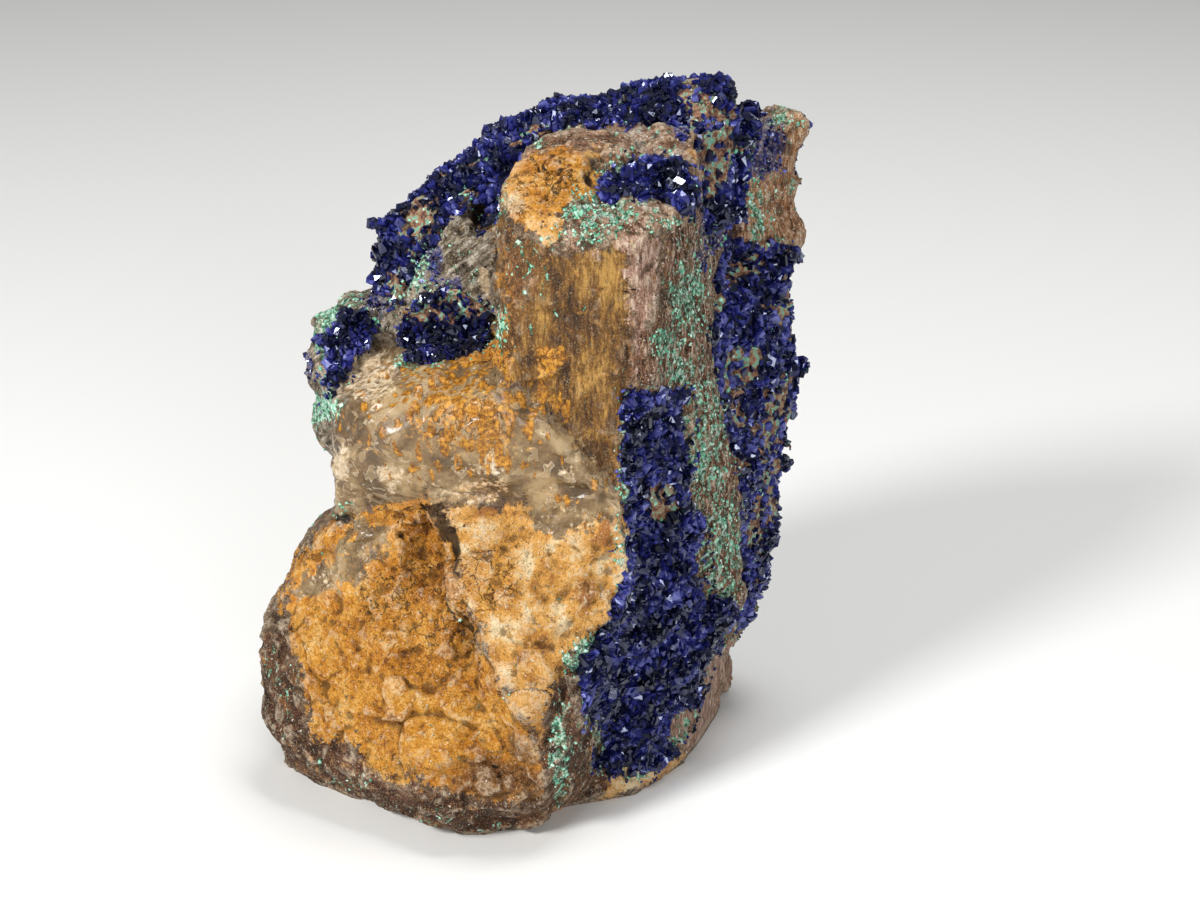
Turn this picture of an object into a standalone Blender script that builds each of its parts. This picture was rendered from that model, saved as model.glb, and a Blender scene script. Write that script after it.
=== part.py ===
"""Azurite specimen: druzy azurite crusts on a broken piece of quartz and limonite matrix.

Metres, +Z up. The specimen stands on its flat underside, with its display face towards -Y.
Corner points below are in millimetres, as (x, y, z): x to the right of the display face,
y backwards, z up from the underside.
"""

import math
import random

import bmesh
import bpy
import numpy as np
from mathutils import Matrix, Vector, noise
from mathutils.bvhtree import BVHTree

MM = 0.001

# Convex blocks that the broken rock is made of. Each is the hull of its corner points, and
# what lies below zero is trimmed off by the flat underside.
ROCK_BLOCKS = {
    "ochre_foot": (
        (-44, -6, 13), (-38, -12, 10), (-28, -18, 11), (-20, -24, 9), (-14, -28, 8), (-2, -27, 8),
        (0, -19, 19), (-12, -9, 38), (-14, -6, 48), (-29, -5, 49), (-32, -1, 43), (-38, 1, 36),
        (-44, -2, 24), (-38, -1, -3), (-30, -3, -3), (-21, -7, -3), (-14, -15, -3), (-10, -19, -3),
        (-2, -17, -3), (-34, 20, -3), (-37, 20, 34), (0, 20, -3), (0, 20, 40),
    ),
    "front_block": (
        (-15, -10, 51), (-11, -16, 44), (-9, -22, 34), (-1, -26, 24), (2, -27, 11), (14, -14, 53),
        (14, -17, 38), (10, -19, 29), (7, -21, 23), (2, -20, 5), (-1, -18, -3), (2, -13, -3),
        (0, 5, 60), (20, 10, 60), (20, 10, -3), (0, 10, -3),
    ),
    "quartz_shoulder": (
        (-30, -6, 66), (-30, -8, 55), (-30, -6, 50), (-15, -9, 51), (-22, -14, 63), (-7, -16, 70),
        (4, -18, 66), (13, -16, 51), (-27, -2, 68), (-14, 2, 72), (-5, 0, 74), (-3, -12, 70),
        (-28, 15, 60), (10, 15, 50), (-29, 15, 46), (-30, -4, 46), (-16, -6, 46),
    ),
    "pillar": (
        (-4, -8, 98), (-5, -8, 78), (-3, -13, 69), (14, -16, 52), (15, -13, 69), (16, -12, 93),
        (7, -12, 93), (1, -12, 94), (-3, 0, 101), (4, 8, 104), (13, 9, 104), (25, 8, 105),
        (25, -2, 96), (-4, 15, 80), (24, 14, 50), (-4, 15, 60),
    ),
    "upper_left": (
        (-24, 18, 87), (-24, 16, 78), (-24, 14, 72), (-14, 20, 94), (-7, 24, 101), (-5, 10, 92),
        (-5, 5, 73), (-21, 6, 71), (-24, 28, 82), (-24, 26, 58), (-24, 10, 55), (0, 30, 98),
        (0, 30, 50), (0, 5, 55),
    ),
    "left_lobe": (
        (-36, 14, 70), (-37, 12, 65), (-36, 12, 61), (-31, 5, 65), (-31, 6, 60), (-29, 12, 75),
        (-24, 13, 76), (-34, 20, 68), (-28, 22, 74), (-20, 20, 58), (-20, 6, 58),
    ),
    "left_lobe_foot": (
        (-34, 13, 60), (-35, 12, 56), (-34, 11, 51), (-30, 7, 50), (-30, 6, 60), (-32, 20, 58),
        (-20, 20, 48), (-20, 8, 46),
    ),
    "top_ridge": (
        (-7, 22, 102), (-2, 26, 102), (10, 24, 103), (18, 22, 105), (26, 20, 111), (31, 18, 110.5),
        (32, 16, 102), (-5, 14, 98), (10, 12, 104), (25, 10, 105), (-4, 32, 96), (30, 28, 104),
        (30, 30, 70), (-4, 30, 70), (0, 12, 75), (28, 10, 75),
    ),
    "strip": (
        (16, -10, 92), (25, 3, 90), (28, 4, 67), (32, 6, 48), (34, 8, 26), (14, -12, 68),
        (14, -14, 30), (10, 10, 92), (28, 20, 88), (33, 20, 24), (8, 10, 20), (22, -4, 14),
    ),
    "right_back_ridge": (
        (35, 26, 101), (42, 28, 100), (42, 27, 91), (41, 26, 76), (33, 22, 98), (32, 16, 78),
        (36, 33, 98), (40, 33, 80), (26, 32, 100), (24, 22, 78), (36, 32, 60), (26, 20, 60),
    ),
    "ridge_knob": (
        (36, 25, 101), (43, 25, 103), (44, 27, 99), (42, 26, 95), (36, 32, 102), (43, 32, 100),
        (37, 26, 95), (38, 31, 94),
    ),
    "right_flank": (
        (41, 24, 75), (41, 26, 61), (42, 25, 54), (41, 24, 39), (40, 24, 30), (37, 24, 18),
        (34, 24, 11), (30, 26, -3), (28, 8, 77), (36, 33, 74), (38, 33, 40), (26, 32, -3),
        (34, 10, 50), (33, 12, 20), (20, 30, 78),
    ),
    "lower_right": (
        (31, 21, -3), (25, 7, -3), (23, -1, -3), (16, -10, -3), (10, -12, -3), (2, -13, -3),
        (13, -10, 8), (29, 10, 16), (30, 12, 30), (10, -8, 30), (0, 20, -3), (20, 28, -3),
    ),
    "back_core": (
        (-32, 20, -3), (-34, 26, 40), (-24, 32, 20), (-22, 34, 70), (0, 35, -3), (4, 37, 60),
        (2, 34, 94), (28, 33, -3), (32, 36, 60), (28, 33, 96), (-30, 0, 10), (20, -4, 10),
        (-20, 5, 68), (18, 0, 88), (-23, 26, 80),
    ),
    "back_ledge_low": (
        (-30, 25, -3), (-33, 28, 22), (-12, 40, 26), (-2, 38, -3), (2, 40, 18), (-20, 36, -3),
        (-24, 34, 30), (-6, 25, 34), (0, 20, -3),
    ),
    "back_ledge_high": (
        (2, 34, 92), (26, 36, 92), (10, 40, 74), (31, 38, 66), (18, 39, 40), (2, 30, 60), (30, 24, 50),
    ),
}
ROCK_VOXEL = 1.2 * MM
ROCK_TRIANGLES = 3950

# Relief of the broken surface, as (height, size) in millimetres, and where each kind lies:
# fine upright striation on the upper right, cracks low on the front, hackly breaks on the back.
LUMPS = (0.55, 7)
STRIATION = (0.30, 1.9)
STRIATION_LENGTH = 16
STRIATED_RIGHT_OF = (-6, 0)
STRIATED_ABOVE = (45, 60)
CRACKS = (0.8, 6.5)
CRACK_WIDTH = 0.16
CRACKED_IN_FRONT_OF = (-4, 6)
CRACKED_BELOW = (44, 54)
HACKLES = (2.6, 17)
HACKLY_BEHIND = (14, 26)
HACKLY_BELOW = (84, 96)

# Hollows pressed into the rock: (centre, radius along x, y and z, depth), in millimetres. Each
# is at its deepest within HOLLOW_FLOOR of its radius.
HOLLOW_FLOOR = 0.1
ROCK_HOLLOWS = {
    "undercut": ((-16, -10, 42), (5, 7, 7), 4.0),
    "crack_end": ((-10, -16, 32), (3, 5, 7), 2.5),
    "crystal_pocket": ((19, -2, 98), (7, 5, 4), 3.2),
    "dark_hollow": ((-8, 10, 91), (3.5, 4, 4.5), 5.0),
    "lobe_gap": ((-25, 8, 70), (4, 6, 3), 3.0),
    "back_vug": ((-6, 36, 52), (11, 7, 9), 4.5),
}

# The crusts lie in shallow troughs in the rock, on a bed that the crystals stand in.
TROUGH_DEPTH = 1.5
TROUGH_RIM = (-1.8, 1.2)
CLEARANCE = 0.4 * MM
BED_THICKNESS = 1.7 * MM
BED_VOXEL = 1.4 * MM
BED_TRIANGLES = 2300
FACET_RELIEF = (-0.6, 0.9)
FLATNESS = math.radians(10)
UNDERSIDE_FLATNESS = math.radians(2)

# Each crust covers the rock inside its outlines. An outline is a loop of corner points in
# millimetres, swept along a direction by (back, out) millimetres.
CRUSTS = {
    "azurite_crown": {
        "outlines": (
            (((-8, 12, 100), (3, 15, 100), (10, 12, 100), (17, 12, 100), (23, 8, 100), (29, 10, 100),
              (34, 17, 100), (33, 29, 100), (22, 34, 100), (8, 35, 100), (-8, 35, 100)),
             (0, 0, 1), (-12, 20)),
            (((-29, 15, 78), (-28, 15, 92), (-14, 15, 103), (-2, 15, 110), (-4, 15, 97), (-7, 15, 92),
              (-12, 15, 91), (-15, 15, 86), (-19, 15, 82), (-21, 15, 77)),
             (0, 1, 0), (-16, 24)),
        ),
        "crystals": 36,
    },
    "azurite_front_band": {
        "outlines": (
            (((14, -14, 70), (24, -2, 65), (24, -2, 55), (22, -5, 50), (26, -1, 43), (28, 1, 32),
              (34, 6, 22), (33, 7, 14), (25, 2, 5), (16, -8, 3), (10, -13, 6), (11, -15, 15),
              (7, -20, 20), (8, -21, 31), (13, -17, 36), (15, -13, 44), (14, -14, 52)),
             (0.6, -0.8, 0), (-7, 8)),
        ),
        "crystals": 26,
    },
    "azurite_right_flank": {
        "outlines": (
            (((35, 14, 84), (35, 22, 80), (35, 31, 77), (35, 34, 58), (35, 33, 36), (35, 28, 20),
              (35, 17, 16), (35, 12, 24), (35, 9, 37), (35, 7, 51), (35, 4, 63), (35, 3, 73),
              (35, 9, 77)),
             (1, -0.1, 0), (-14, 14)),
        ),
        "crystals": 26,
    },
    "azurite_pocket": {
        "outlines": (
            (((11, -4, 98), (14, -1, 100), (18, 1.5, 101), (24, 1, 99), (26, -1, 96), (24, -4, 95),
              (19, -4.5, 97), (17, -3, 98), (13, -6, 97)),
             (0.2, -0.5, 0.84), (-6, 3)),
        ),
        "crystals": 8,
    },
    "azurite_ledge_patch": {
        "outlines": (
            (((-21, 5, 71), (-18, 5, 77), (-12, 5, 79), (-7, 5, 76), (-8, 5, 72), (-14, 5, 69.5)),
             (0, -1, 0.2), (-9, 7)),
        ),
        "crystals": 8,
    },
    "azurite_left_lobe": {
        "outlines": (
            (((-31, 9, 74), (-26.5, 9, 74), (-26, 9, 70), (-29, 9, 65), (-32, 9, 64), (-33, 9, 69)),
             (0, -1, 0.3), (-8, 7)),
        ),
        "crystals": 6,
    },
}

# The crystals: length and spacing in millimetres; width, thickness, the depth that the foot is
# sunk to, the height of the tip and its two ends, all as shares of the length or the width.
CRYSTAL_LENGTH = (3.8, 5.8)
CRYSTAL_SPACING = 3.4
CRYSTAL_WIDTH = (0.7, 1.0)
CRYSTAL_THICKNESS = (0.4, 0.65)
CRYSTAL_FOOT = 0.6
CRYSTAL_HEIGHT = 0.4
CRYSTAL_EDGE = (-0.3, 0.24)
CRYSTAL_LEAN = 0.38

# The crusts' outlines get a point every OUTLINE_STEP, moved at random, in millimetres.
OUTLINE_STEP = 3.0
OUTLINE_SWAY = 3.7
OUTLINE_RAGGEDNESS = 1.6
BED_LUMPS = (0.7, 5)

NOISE_SEED = 5
ROCK_COLOUR = (0.42, 0.24, 0.09)
ROCK_ROUGHNESS = 0.8
AZURITE_COLOUR = (0.012, 0.018, 0.16)
AZURITE_ROUGHNESS = 0.15


def clear_scene():
    for obj in list(bpy.data.objects):
        bpy.data.objects.remove(obj, do_unlink=True)


def new_object(name, bm, collection):
    mesh = bpy.data.meshes.new(name)
    bm.to_mesh(mesh)
    bm.free()
    obj = bpy.data.objects.new(name, mesh)
    collection.objects.link(obj)
    return obj


def apply_modifiers(obj):
    """Turns the modifiers' result into the object's own mesh."""
    bpy.context.view_layer.update()
    graph = bpy.context.evaluated_depsgraph_get()
    result = bpy.data.meshes.new_from_object(obj.evaluated_get(graph))
    obj.modifiers.clear()
    obj.data = result
    obj.data.name = obj.name


def boolean(obj, other, operation, self_crossing=False):
    """Joins obj with another object, or cuts it with that."""
    cut = obj.modifiers.new(operation.lower(), "BOOLEAN")
    cut.operation = operation
    cut.object = other
    cut.solver = "EXACT"
    cut.use_self = self_crossing
    apply_modifiers(obj)


def keep_largest_body(obj):
    """Deletes every loose part but the one with the most faces, and splits faces to triangles."""
    bm = bmesh.new()
    bm.from_mesh(obj.data)
    bodies, seen = [], set()
    for start in bm.verts:
        if start in seen:
            continue
        seen.add(start)
        body, reach = [], [start]
        while reach:
            vert = reach.pop()
            body.append(vert)
            for edge in vert.link_edges:
                far = edge.other_vert(vert)
                if far not in seen:
                    seen.add(far)
                    reach.append(far)
        bodies.append(body)
    bodies.sort(key=len)
    for body in bodies[:-1]:
        bmesh.ops.delete(bm, geom=body, context="VERTS")
    bmesh.ops.triangulate(bm, faces=bm.faces)
    bm.to_mesh(obj.data)
    bm.free()


def stone_material(name, colour, roughness):
    material = bpy.data.materials.new(name)
    material.use_nodes = True
    shader = material.node_tree.nodes["Principled BSDF"]
    shader.inputs["Base Color"].default_value = (*colour, 1)
    shader.inputs["Roughness"].default_value = roughness
    shader.inputs["Metallic"].default_value = 0
    return material


def hull_into(bm, corners):
    """Adds the convex hull of corner points to bm."""
    verts = [bm.verts.new(corner) for corner in corners]
    found = bmesh.ops.convex_hull(bm, input=verts)
    inside = [v for v in found["geom_interior"] if isinstance(v, bmesh.types.BMVert)]
    bmesh.ops.delete(bm, geom=inside, context="VERTS")


def voxel_fuse(obj, voxel, smoothing):
    fuse = obj.modifiers.new("fuse", "REMESH")
    fuse.mode = "VOXEL"
    fuse.voxel_size = voxel
    soften = obj.modifiers.new("soften", "SMOOTH")
    soften.iterations = smoothing
    apply_modifiers(obj)


def decimate(obj, triangles):
    count = sum(len(face.vertices) - 2 for face in obj.data.polygons)
    thin = obj.modifiers.new("thin_out", "DECIMATE")
    thin.ratio = min(1, triangles / count)
    apply_modifiers(obj)


def dissolve_flat(obj, angle):
    """Merges neighbouring faces that lie within an angle of one plane, then cuts them into triangles."""
    bm = bmesh.new()
    bm.from_mesh(obj.data)
    bmesh.ops.dissolve_limit(
        bm, angle_limit=angle, verts=bm.verts, edges=bm.edges, use_dissolve_boundaries=False
    )
    bmesh.ops.triangulate(bm, faces=bm.faces, quad_method="BEAUTY", ngon_method="BEAUTY")
    bm.to_mesh(obj.data)
    bm.free()


def smooth_step(value, low, high):
    share = min(1, max(0, (value - low) / (high - low)))
    return share * share * (3 - 2 * share)


def broken_relief(point):
    """Height of the broken surface over its blocks, in millimetres, at a point in millimetres."""
    x, y, z = point
    lumps = LUMPS[0] * noise.fractal(point / LUMPS[1], 0.9, 2.0, 4)
    grain = Vector((x / STRIATION[1], y / STRIATION[1], z / STRIATION_LENGTH))
    striation = STRIATION[0] * noise.noise(grain)
    striation *= smooth_step(x, *STRIATED_RIGHT_OF) * smooth_step(z, *STRIATED_ABOVE)
    nearest, second = noise.voronoi(point / CRACKS[1])[0][:2]
    cracks = -CRACKS[0] * (1 - smooth_step(second - nearest, 0, CRACK_WIDTH))
    cracks *= (1 - smooth_step(y, *CRACKED_IN_FRONT_OF)) * (1 - smooth_step(z, *CRACKED_BELOW))
    hackly = HACKLES[0] * (noise.ridged_multi_fractal(point / HACKLES[1], 0.9, 2.0, 3, 1.0, 2.0) - 1.0)
    hackly *= smooth_step(y, *HACKLY_BEHIND) * (1 - smooth_step(z, *HACKLY_BELOW))
    return lumps + striation + cracks + hackly


def hollow_depth(point):
    """How far the hollows press the surface in, in millimetres."""
    depth = 0
    for centre, radii, deepest in ROCK_HOLLOWS.values():
        reach = Vector((p - c) / r for p, c, r in zip(point, centre, radii)).length
        depth = max(depth, deepest * (1 - smooth_step(reach, HOLLOW_FLOOR, 1.0)))
    return depth


def depth_inside(points, outline, direction, reach):
    """How far inside a swept outline each point is, in millimetres, and less than zero outside it."""
    along = Vector(direction).normalized()
    across = along.orthogonal().normalized()
    axes = np.array((across, along.cross(across), along))
    flat = points @ axes.T
    corners = np.array(outline, float) @ axes.T
    nearest = np.full(len(points), np.inf)
    inside = np.zeros(len(points), bool)
    for start, end in zip(corners, np.roll(corners, -1, axis=0)):
        side = (end - start)[:2]
        offset = flat[:, :2] - start[:2]
        share = np.clip(offset @ side / (side @ side), 0, 1)
        nearest = np.minimum(nearest, np.linalg.norm(offset - share[:, None] * side, axis=1))
        spans = (start[1] > flat[:, 1]) != (end[1] > flat[:, 1])
        rise = np.where(side[1] == 0, 1, side[1])
        inside ^= spans & (offset[:, 0] < side[0] * offset[:, 1] / rise)
    level = flat[:, 2] - corners[:, 2].mean()
    nearest = np.where(inside, nearest, -nearest)
    return np.where((level > reach[0]) & (level < reach[1]), nearest, -np.inf)


def trough_depths(points):
    """How deep the crusts' troughs are at each point, in millimetres."""
    deepest = np.full(len(points), -np.inf)
    for shape in CRUSTS.values():
        for outline, direction, reach in shape["outlines"]:
            deepest = np.maximum(deepest, depth_inside(points, outline, direction, reach))
    share = np.clip((deepest - TROUGH_RIM[0]) / (TROUGH_RIM[1] - TROUGH_RIM[0]), 0, 1)
    return TROUGH_DEPTH * share * share * (3 - 2 * share)


def build_rock(collection):
    bm = bmesh.new()
    for corners in ROCK_BLOCKS.values():
        hull_into(bm, [Vector(corner) * MM for corner in corners])
    bmesh.ops.recalc_face_normals(bm, faces=bm.faces)
    rock = new_object("matrix_rock", bm, collection)
    voxel_fuse(rock, ROCK_VOXEL, 3)
    normals = [vert.normal.copy() for vert in rock.data.vertices]
    troughs = trough_depths(np.array([vert.co / MM for vert in rock.data.vertices]))
    for vert, normal, trough in zip(rock.data.vertices, normals, troughs):
        point = vert.co / MM
        vert.co += normal * (broken_relief(point) - hollow_depth(point) - trough) * MM
    decimate(rock, ROCK_TRIANGLES)
    bm = bmesh.new()
    bm.from_mesh(rock.data)
    everything = bm.verts[:] + bm.edges[:] + bm.faces[:]
    cut = bmesh.ops.bisect_plane(
        bm, geom=everything, plane_co=(0, 0, 0), plane_no=(0, 0, 1), clear_inner=True, dist=1e-6
    )
    rim = [edge for edge in cut["geom_cut"] if isinstance(edge, bmesh.types.BMEdge)]
    bmesh.ops.triangle_fill(bm, use_beauty=True, use_dissolve=True, edges=rim)
    bmesh.ops.recalc_face_normals(bm, faces=bm.faces)
    bm.to_mesh(rock.data)
    bm.free()
    keep_largest_body(rock)
    rock.data.materials.append(stone_material("limonite_and_quartz", ROCK_COLOUR, ROCK_ROUGHNESS))
    return rock


def swollen_copy(rock, name, distance, lumps, collection):
    """A copy of the rock with its surface moved out, by a distance that lumps (height, size) vary."""
    copy = bpy.data.objects.new(name, rock.data.copy())
    copy.data.materials.clear()
    collection.objects.link(copy)
    normals = [vert.normal.copy() for vert in copy.data.vertices]
    for vert, normal in zip(copy.data.vertices, normals):
        rise = lumps[0] * noise.noise(vert.co / MM / lumps[1])
        vert.co += normal * (distance + rise * MM)
    return copy


def facet(skin):
    """Moves each corner in or out at random, so that the skin becomes small flat crystal faces."""
    chance = random.Random("facets")
    normals = [vert.normal.copy() for vert in skin.data.vertices]
    for vert, normal in zip(skin.data.vertices, normals):
        vert.co += normal * chance.uniform(*FACET_RELIEF) * MM


def ragged(outline):
    """The outline with more points along its sides, each a little off the straight line."""
    points = []
    for i, corner in enumerate(outline):
        start, end = Vector(corner), Vector(outline[(i + 1) % len(outline)])
        steps = max(1, round((end - start).length / OUTLINE_STEP))
        for step in range(steps):
            point = start.lerp(end, step / steps)
            points.append(point + noise.noise_vector(point / OUTLINE_SWAY) * OUTLINE_RAGGEDNESS)
    return points


def outline_prism(bm, outline, direction, reach):
    """Adds the closed prism that an outline sweeps from reach[0] to reach[1] along a direction."""
    along = Vector(direction).normalized()
    outline = ragged(outline)
    near = [bm.verts.new((Vector(point) + along * reach[0]) * MM) for point in outline]
    far = [bm.verts.new((Vector(point) + along * reach[1]) * MM) for point in outline]
    bm.faces.new(near)
    bm.faces.new(reversed(far))
    for i in range(len(outline)):
        j = (i + 1) % len(outline)
        bm.faces.new((near[j], near[i], far[i], far[j]))


def crust_region(outlines, collection):
    region = None
    for outline, direction, reach in outlines:
        bm = bmesh.new()
        outline_prism(bm, outline, direction, reach)
        bmesh.ops.triangulate(bm, faces=bm.faces)
        bmesh.ops.recalc_face_normals(bm, faces=bm.faces)
        prism = new_object("crust_region", bm, collection)
        if region is None:
            region = prism
        else:
            boolean(region, prism, "UNION")
            bpy.data.objects.remove(prism)
    return region


def spread_points(obj, ground, count, spacing, chance):
    """Points with normals spread over the faces of obj that lie on the ground's surface."""
    tree = BVHTree.FromObject(ground, bpy.context.evaluated_depsgraph_get())
    faces, weights = [], []
    for face in obj.data.polygons:
        if tree.find_nearest(face.center)[3] < 1e-5:
            faces.append(face)
            weights.append(face.area)
    points = []
    for _ in range(count * 40):
        face = chance.choices(faces, weights)[0]
        a, b, c = (obj.data.vertices[i].co for i in face.vertices[:3])
        u, v = chance.random(), chance.random()
        if u + v > 1:
            u, v = 1 - u, 1 - v
        spot = a + (b - a) * u + (c - a) * v
        if all((spot - other).length > spacing for other, _ in points):
            points.append((spot, face.normal.copy()))
        if len(points) == count:
            break
    return points


def crystal_corners(length, width, thickness):
    """A bladed crystal along +Z: a lozenge foot sunk in the bed, and a chisel edge at the tip."""
    lozenge = ((-0.5, 0), (0, -0.5), (0.5, 0), (0, 0.5))
    foot = [(width * x, thickness * y, -CRYSTAL_FOOT * length) for x, y in lozenge]
    tip = [(width * x, 0, CRYSTAL_HEIGHT * length) for x in CRYSTAL_EDGE]
    return [Vector(corner) for corner in foot + tip]


def crystal_cluster(points, chance, collection):
    bm = bmesh.new()
    for spot, normal in points:
        length = chance.uniform(*CRYSTAL_LENGTH) * MM
        width = length * chance.uniform(*CRYSTAL_WIDTH)
        thickness = length * chance.uniform(*CRYSTAL_THICKNESS)
        lean = Vector((chance.gauss(0, 1), chance.gauss(0, 1), chance.gauss(0, 1))) * CRYSTAL_LEAN
        turn = (normal + lean).to_track_quat("Z", "Y").to_matrix().to_4x4()
        spin = Matrix.Rotation(chance.uniform(0, math.tau), 4, "Z")
        place = Matrix.Translation(spot) @ turn @ spin
        hull_into(bm, [place @ corner for corner in crystal_corners(length, width, thickness)])
    bmesh.ops.recalc_face_normals(bm, faces=bm.faces)
    return new_object("crystal_cluster", bm, collection)


def build_crust(name, shape, skin, clearance, collection, workshop):
    chance = random.Random(name)
    region = crust_region(shape["outlines"], workshop)
    crust = bpy.data.objects.new(name, skin.data.copy())
    collection.objects.link(crust)
    boolean(crust, region, "INTERSECT")
    keep_largest_body(crust)
    points = spread_points(crust, skin, shape["crystals"], CRYSTAL_SPACING * MM, chance)
    cluster = crystal_cluster(points, chance, workshop)
    boolean(crust, cluster, "UNION", self_crossing=True)
    dissolve_flat(crust, FLATNESS)
    boolean(crust, clearance, "DIFFERENCE")
    keep_largest_body(crust)
    dissolve_flat(crust, UNDERSIDE_FLATNESS)
    bpy.data.objects.remove(region)
    bpy.data.objects.remove(cluster)
    crust.data.materials.clear()
    crust.data.materials.append(stone_material(name, AZURITE_COLOUR, AZURITE_ROUGHNESS))


def main():
    clear_scene()
    noise.seed_set(NOISE_SEED)
    collection = bpy.data.collections.new("azurite_specimen")
    workshop = bpy.data.collections.new("helpers")
    for made in (collection, workshop):
        bpy.context.scene.collection.children.link(made)
    rock = build_rock(collection)
    clearance = swollen_copy(rock, "clearance", CLEARANCE, (0, 1), workshop)
    skin = swollen_copy(rock, "crust_skin", BED_THICKNESS, BED_LUMPS, workshop)
    voxel_fuse(skin, BED_VOXEL, 1)
    decimate(skin, BED_TRIANGLES)
    facet(skin)
    for name, shape in CRUSTS.items():
        build_crust(name, shape, skin, clearance, collection, workshop)
    for helper in list(workshop.objects):
        bpy.data.objects.remove(helper)


main()
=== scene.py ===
"""The looks of the azurite specimen: broken limonite and quartz rock with druzy azurite crusts.

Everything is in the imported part's frame, in metres in Blender and in millimetres in the arrays.
The specimen stands on z = 0 with its display face towards -Y. The outlines and spots below are
places seen in the reference view, in its pixels, and the camera model carries them to the rock.
"""

import math

import bmesh
import bpy
import numpy as np
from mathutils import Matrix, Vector
from mathutils.bvhtree import BVHTree
from mathutils.kdtree import KDTree


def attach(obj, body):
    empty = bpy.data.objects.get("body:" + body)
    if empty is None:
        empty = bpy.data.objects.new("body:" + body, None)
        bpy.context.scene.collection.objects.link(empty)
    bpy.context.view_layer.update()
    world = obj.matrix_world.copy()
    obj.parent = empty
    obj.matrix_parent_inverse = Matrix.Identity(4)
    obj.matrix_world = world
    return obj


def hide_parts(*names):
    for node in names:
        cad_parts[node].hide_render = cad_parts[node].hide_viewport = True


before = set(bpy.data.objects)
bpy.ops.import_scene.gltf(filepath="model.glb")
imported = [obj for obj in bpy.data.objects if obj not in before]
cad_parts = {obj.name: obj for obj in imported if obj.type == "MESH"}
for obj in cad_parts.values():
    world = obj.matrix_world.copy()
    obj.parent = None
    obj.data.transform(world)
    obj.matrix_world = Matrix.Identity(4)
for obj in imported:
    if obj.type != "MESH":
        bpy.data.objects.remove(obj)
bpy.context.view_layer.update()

MM = 0.001

# ---- reference view

VIEW_PIXELS = (1200, 900)
CAMERA_LENS = 70.0
CAMERA_SENSOR = 36.0
CAMERA_ELEVATION = math.radians(22)
CAMERA_DISTANCE = 0.359
CAMERA_TARGET = Vector((0.0103, 0.0, 0.0555))

LOOK = Vector((0, math.cos(CAMERA_ELEVATION), -math.sin(CAMERA_ELEVATION)))
CAMERA_PLACE = CAMERA_TARGET - LOOK * CAMERA_DISTANCE
FOCAL_PIXELS = CAMERA_LENS / CAMERA_SENSOR * VIEW_PIXELS[0]

# How far a surface faces the view, from -1 to 1, where it starts to be seen and is fully seen.
SEEN_RANGE = (-0.12, 0.16)
# How far borders wander and how softly they end, in pixels.
BORDER_SWAY = 6
BORDER_BLUR = 20
# A spot is whole up to the first share of its half sizes, fades to half and ends at the second.
SPOT_RANGE = (0.3, 1.7)

# ---- meshes, in millimetres

ROCK_VOXEL = 0.37
ROCK_SMOOTHING = 8
ROCK_TRIANGLES = 194000
BED_VOXEL = 0.6
BED_SMOOTHING = 5

# The rock's relief: the sizes of its forms, and where it starts above the flat foot.
BROAD_FACETS = 9.0
SMALL_FACETS = 3.0
GRAIN_SIZE = 1.7
LUMP_SIZE = 4.4
FLUTE_SIZE = (0.95, 0.95, 8.0)
FLUTE_START = (8, 20)
CRAG_SIZE = 14.0
CRACK_DEPTH = 0.8
HOLLOW_DEPTH = 0.8
FLAT_FOOT = 0.35
RELIEF_START = (0.3, 2.2)
CURVATURE_HEIGHT = 0.07
# No crystal or grain stands lower than this.
FOOT_CLEARANCE = 0.7

# A crust's bed: how far outside the CAD rock it starts, how deep the rest is sunk, its least
# height, the share of its height left at its rim, and how far in it is whole again.
OUTSIDE_GAP = 0.85
SINK_DEPTH = 0.8
LEAST_BED = 0.5
RIM_SHARE = 0.3
BED_TAPER = 3.0
# The amount of a trimming spot that ends a crust.
TRIM_AMOUNT = 0.75
# Distances from a crust: of growths on the rock, of its fringe's end, and the longest measured.
CRUST_CLEARANCE = 0.45
FRINGE_END = 3.4
GAP_REACH = 5

# Crystals lean outwards in rosettes, and the bed swells in the rosettes' middles.
ROSETTE_SIZE = 2.6
ROSETTE_RADIUS = 0.42
ROSETTE_SWELL = 1.1
CRYSTAL_LEAN = 1.3
CRYSTAL_SCATTER = 0.3
CRYSTAL_LIFT = 0.1
BARE_THINNING = 0.85
CRUST_SEED = 400
# The tint that tells a bed from its crystals.
BED_TINT = -1.0

# ---- kinds of stone, as seen

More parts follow.
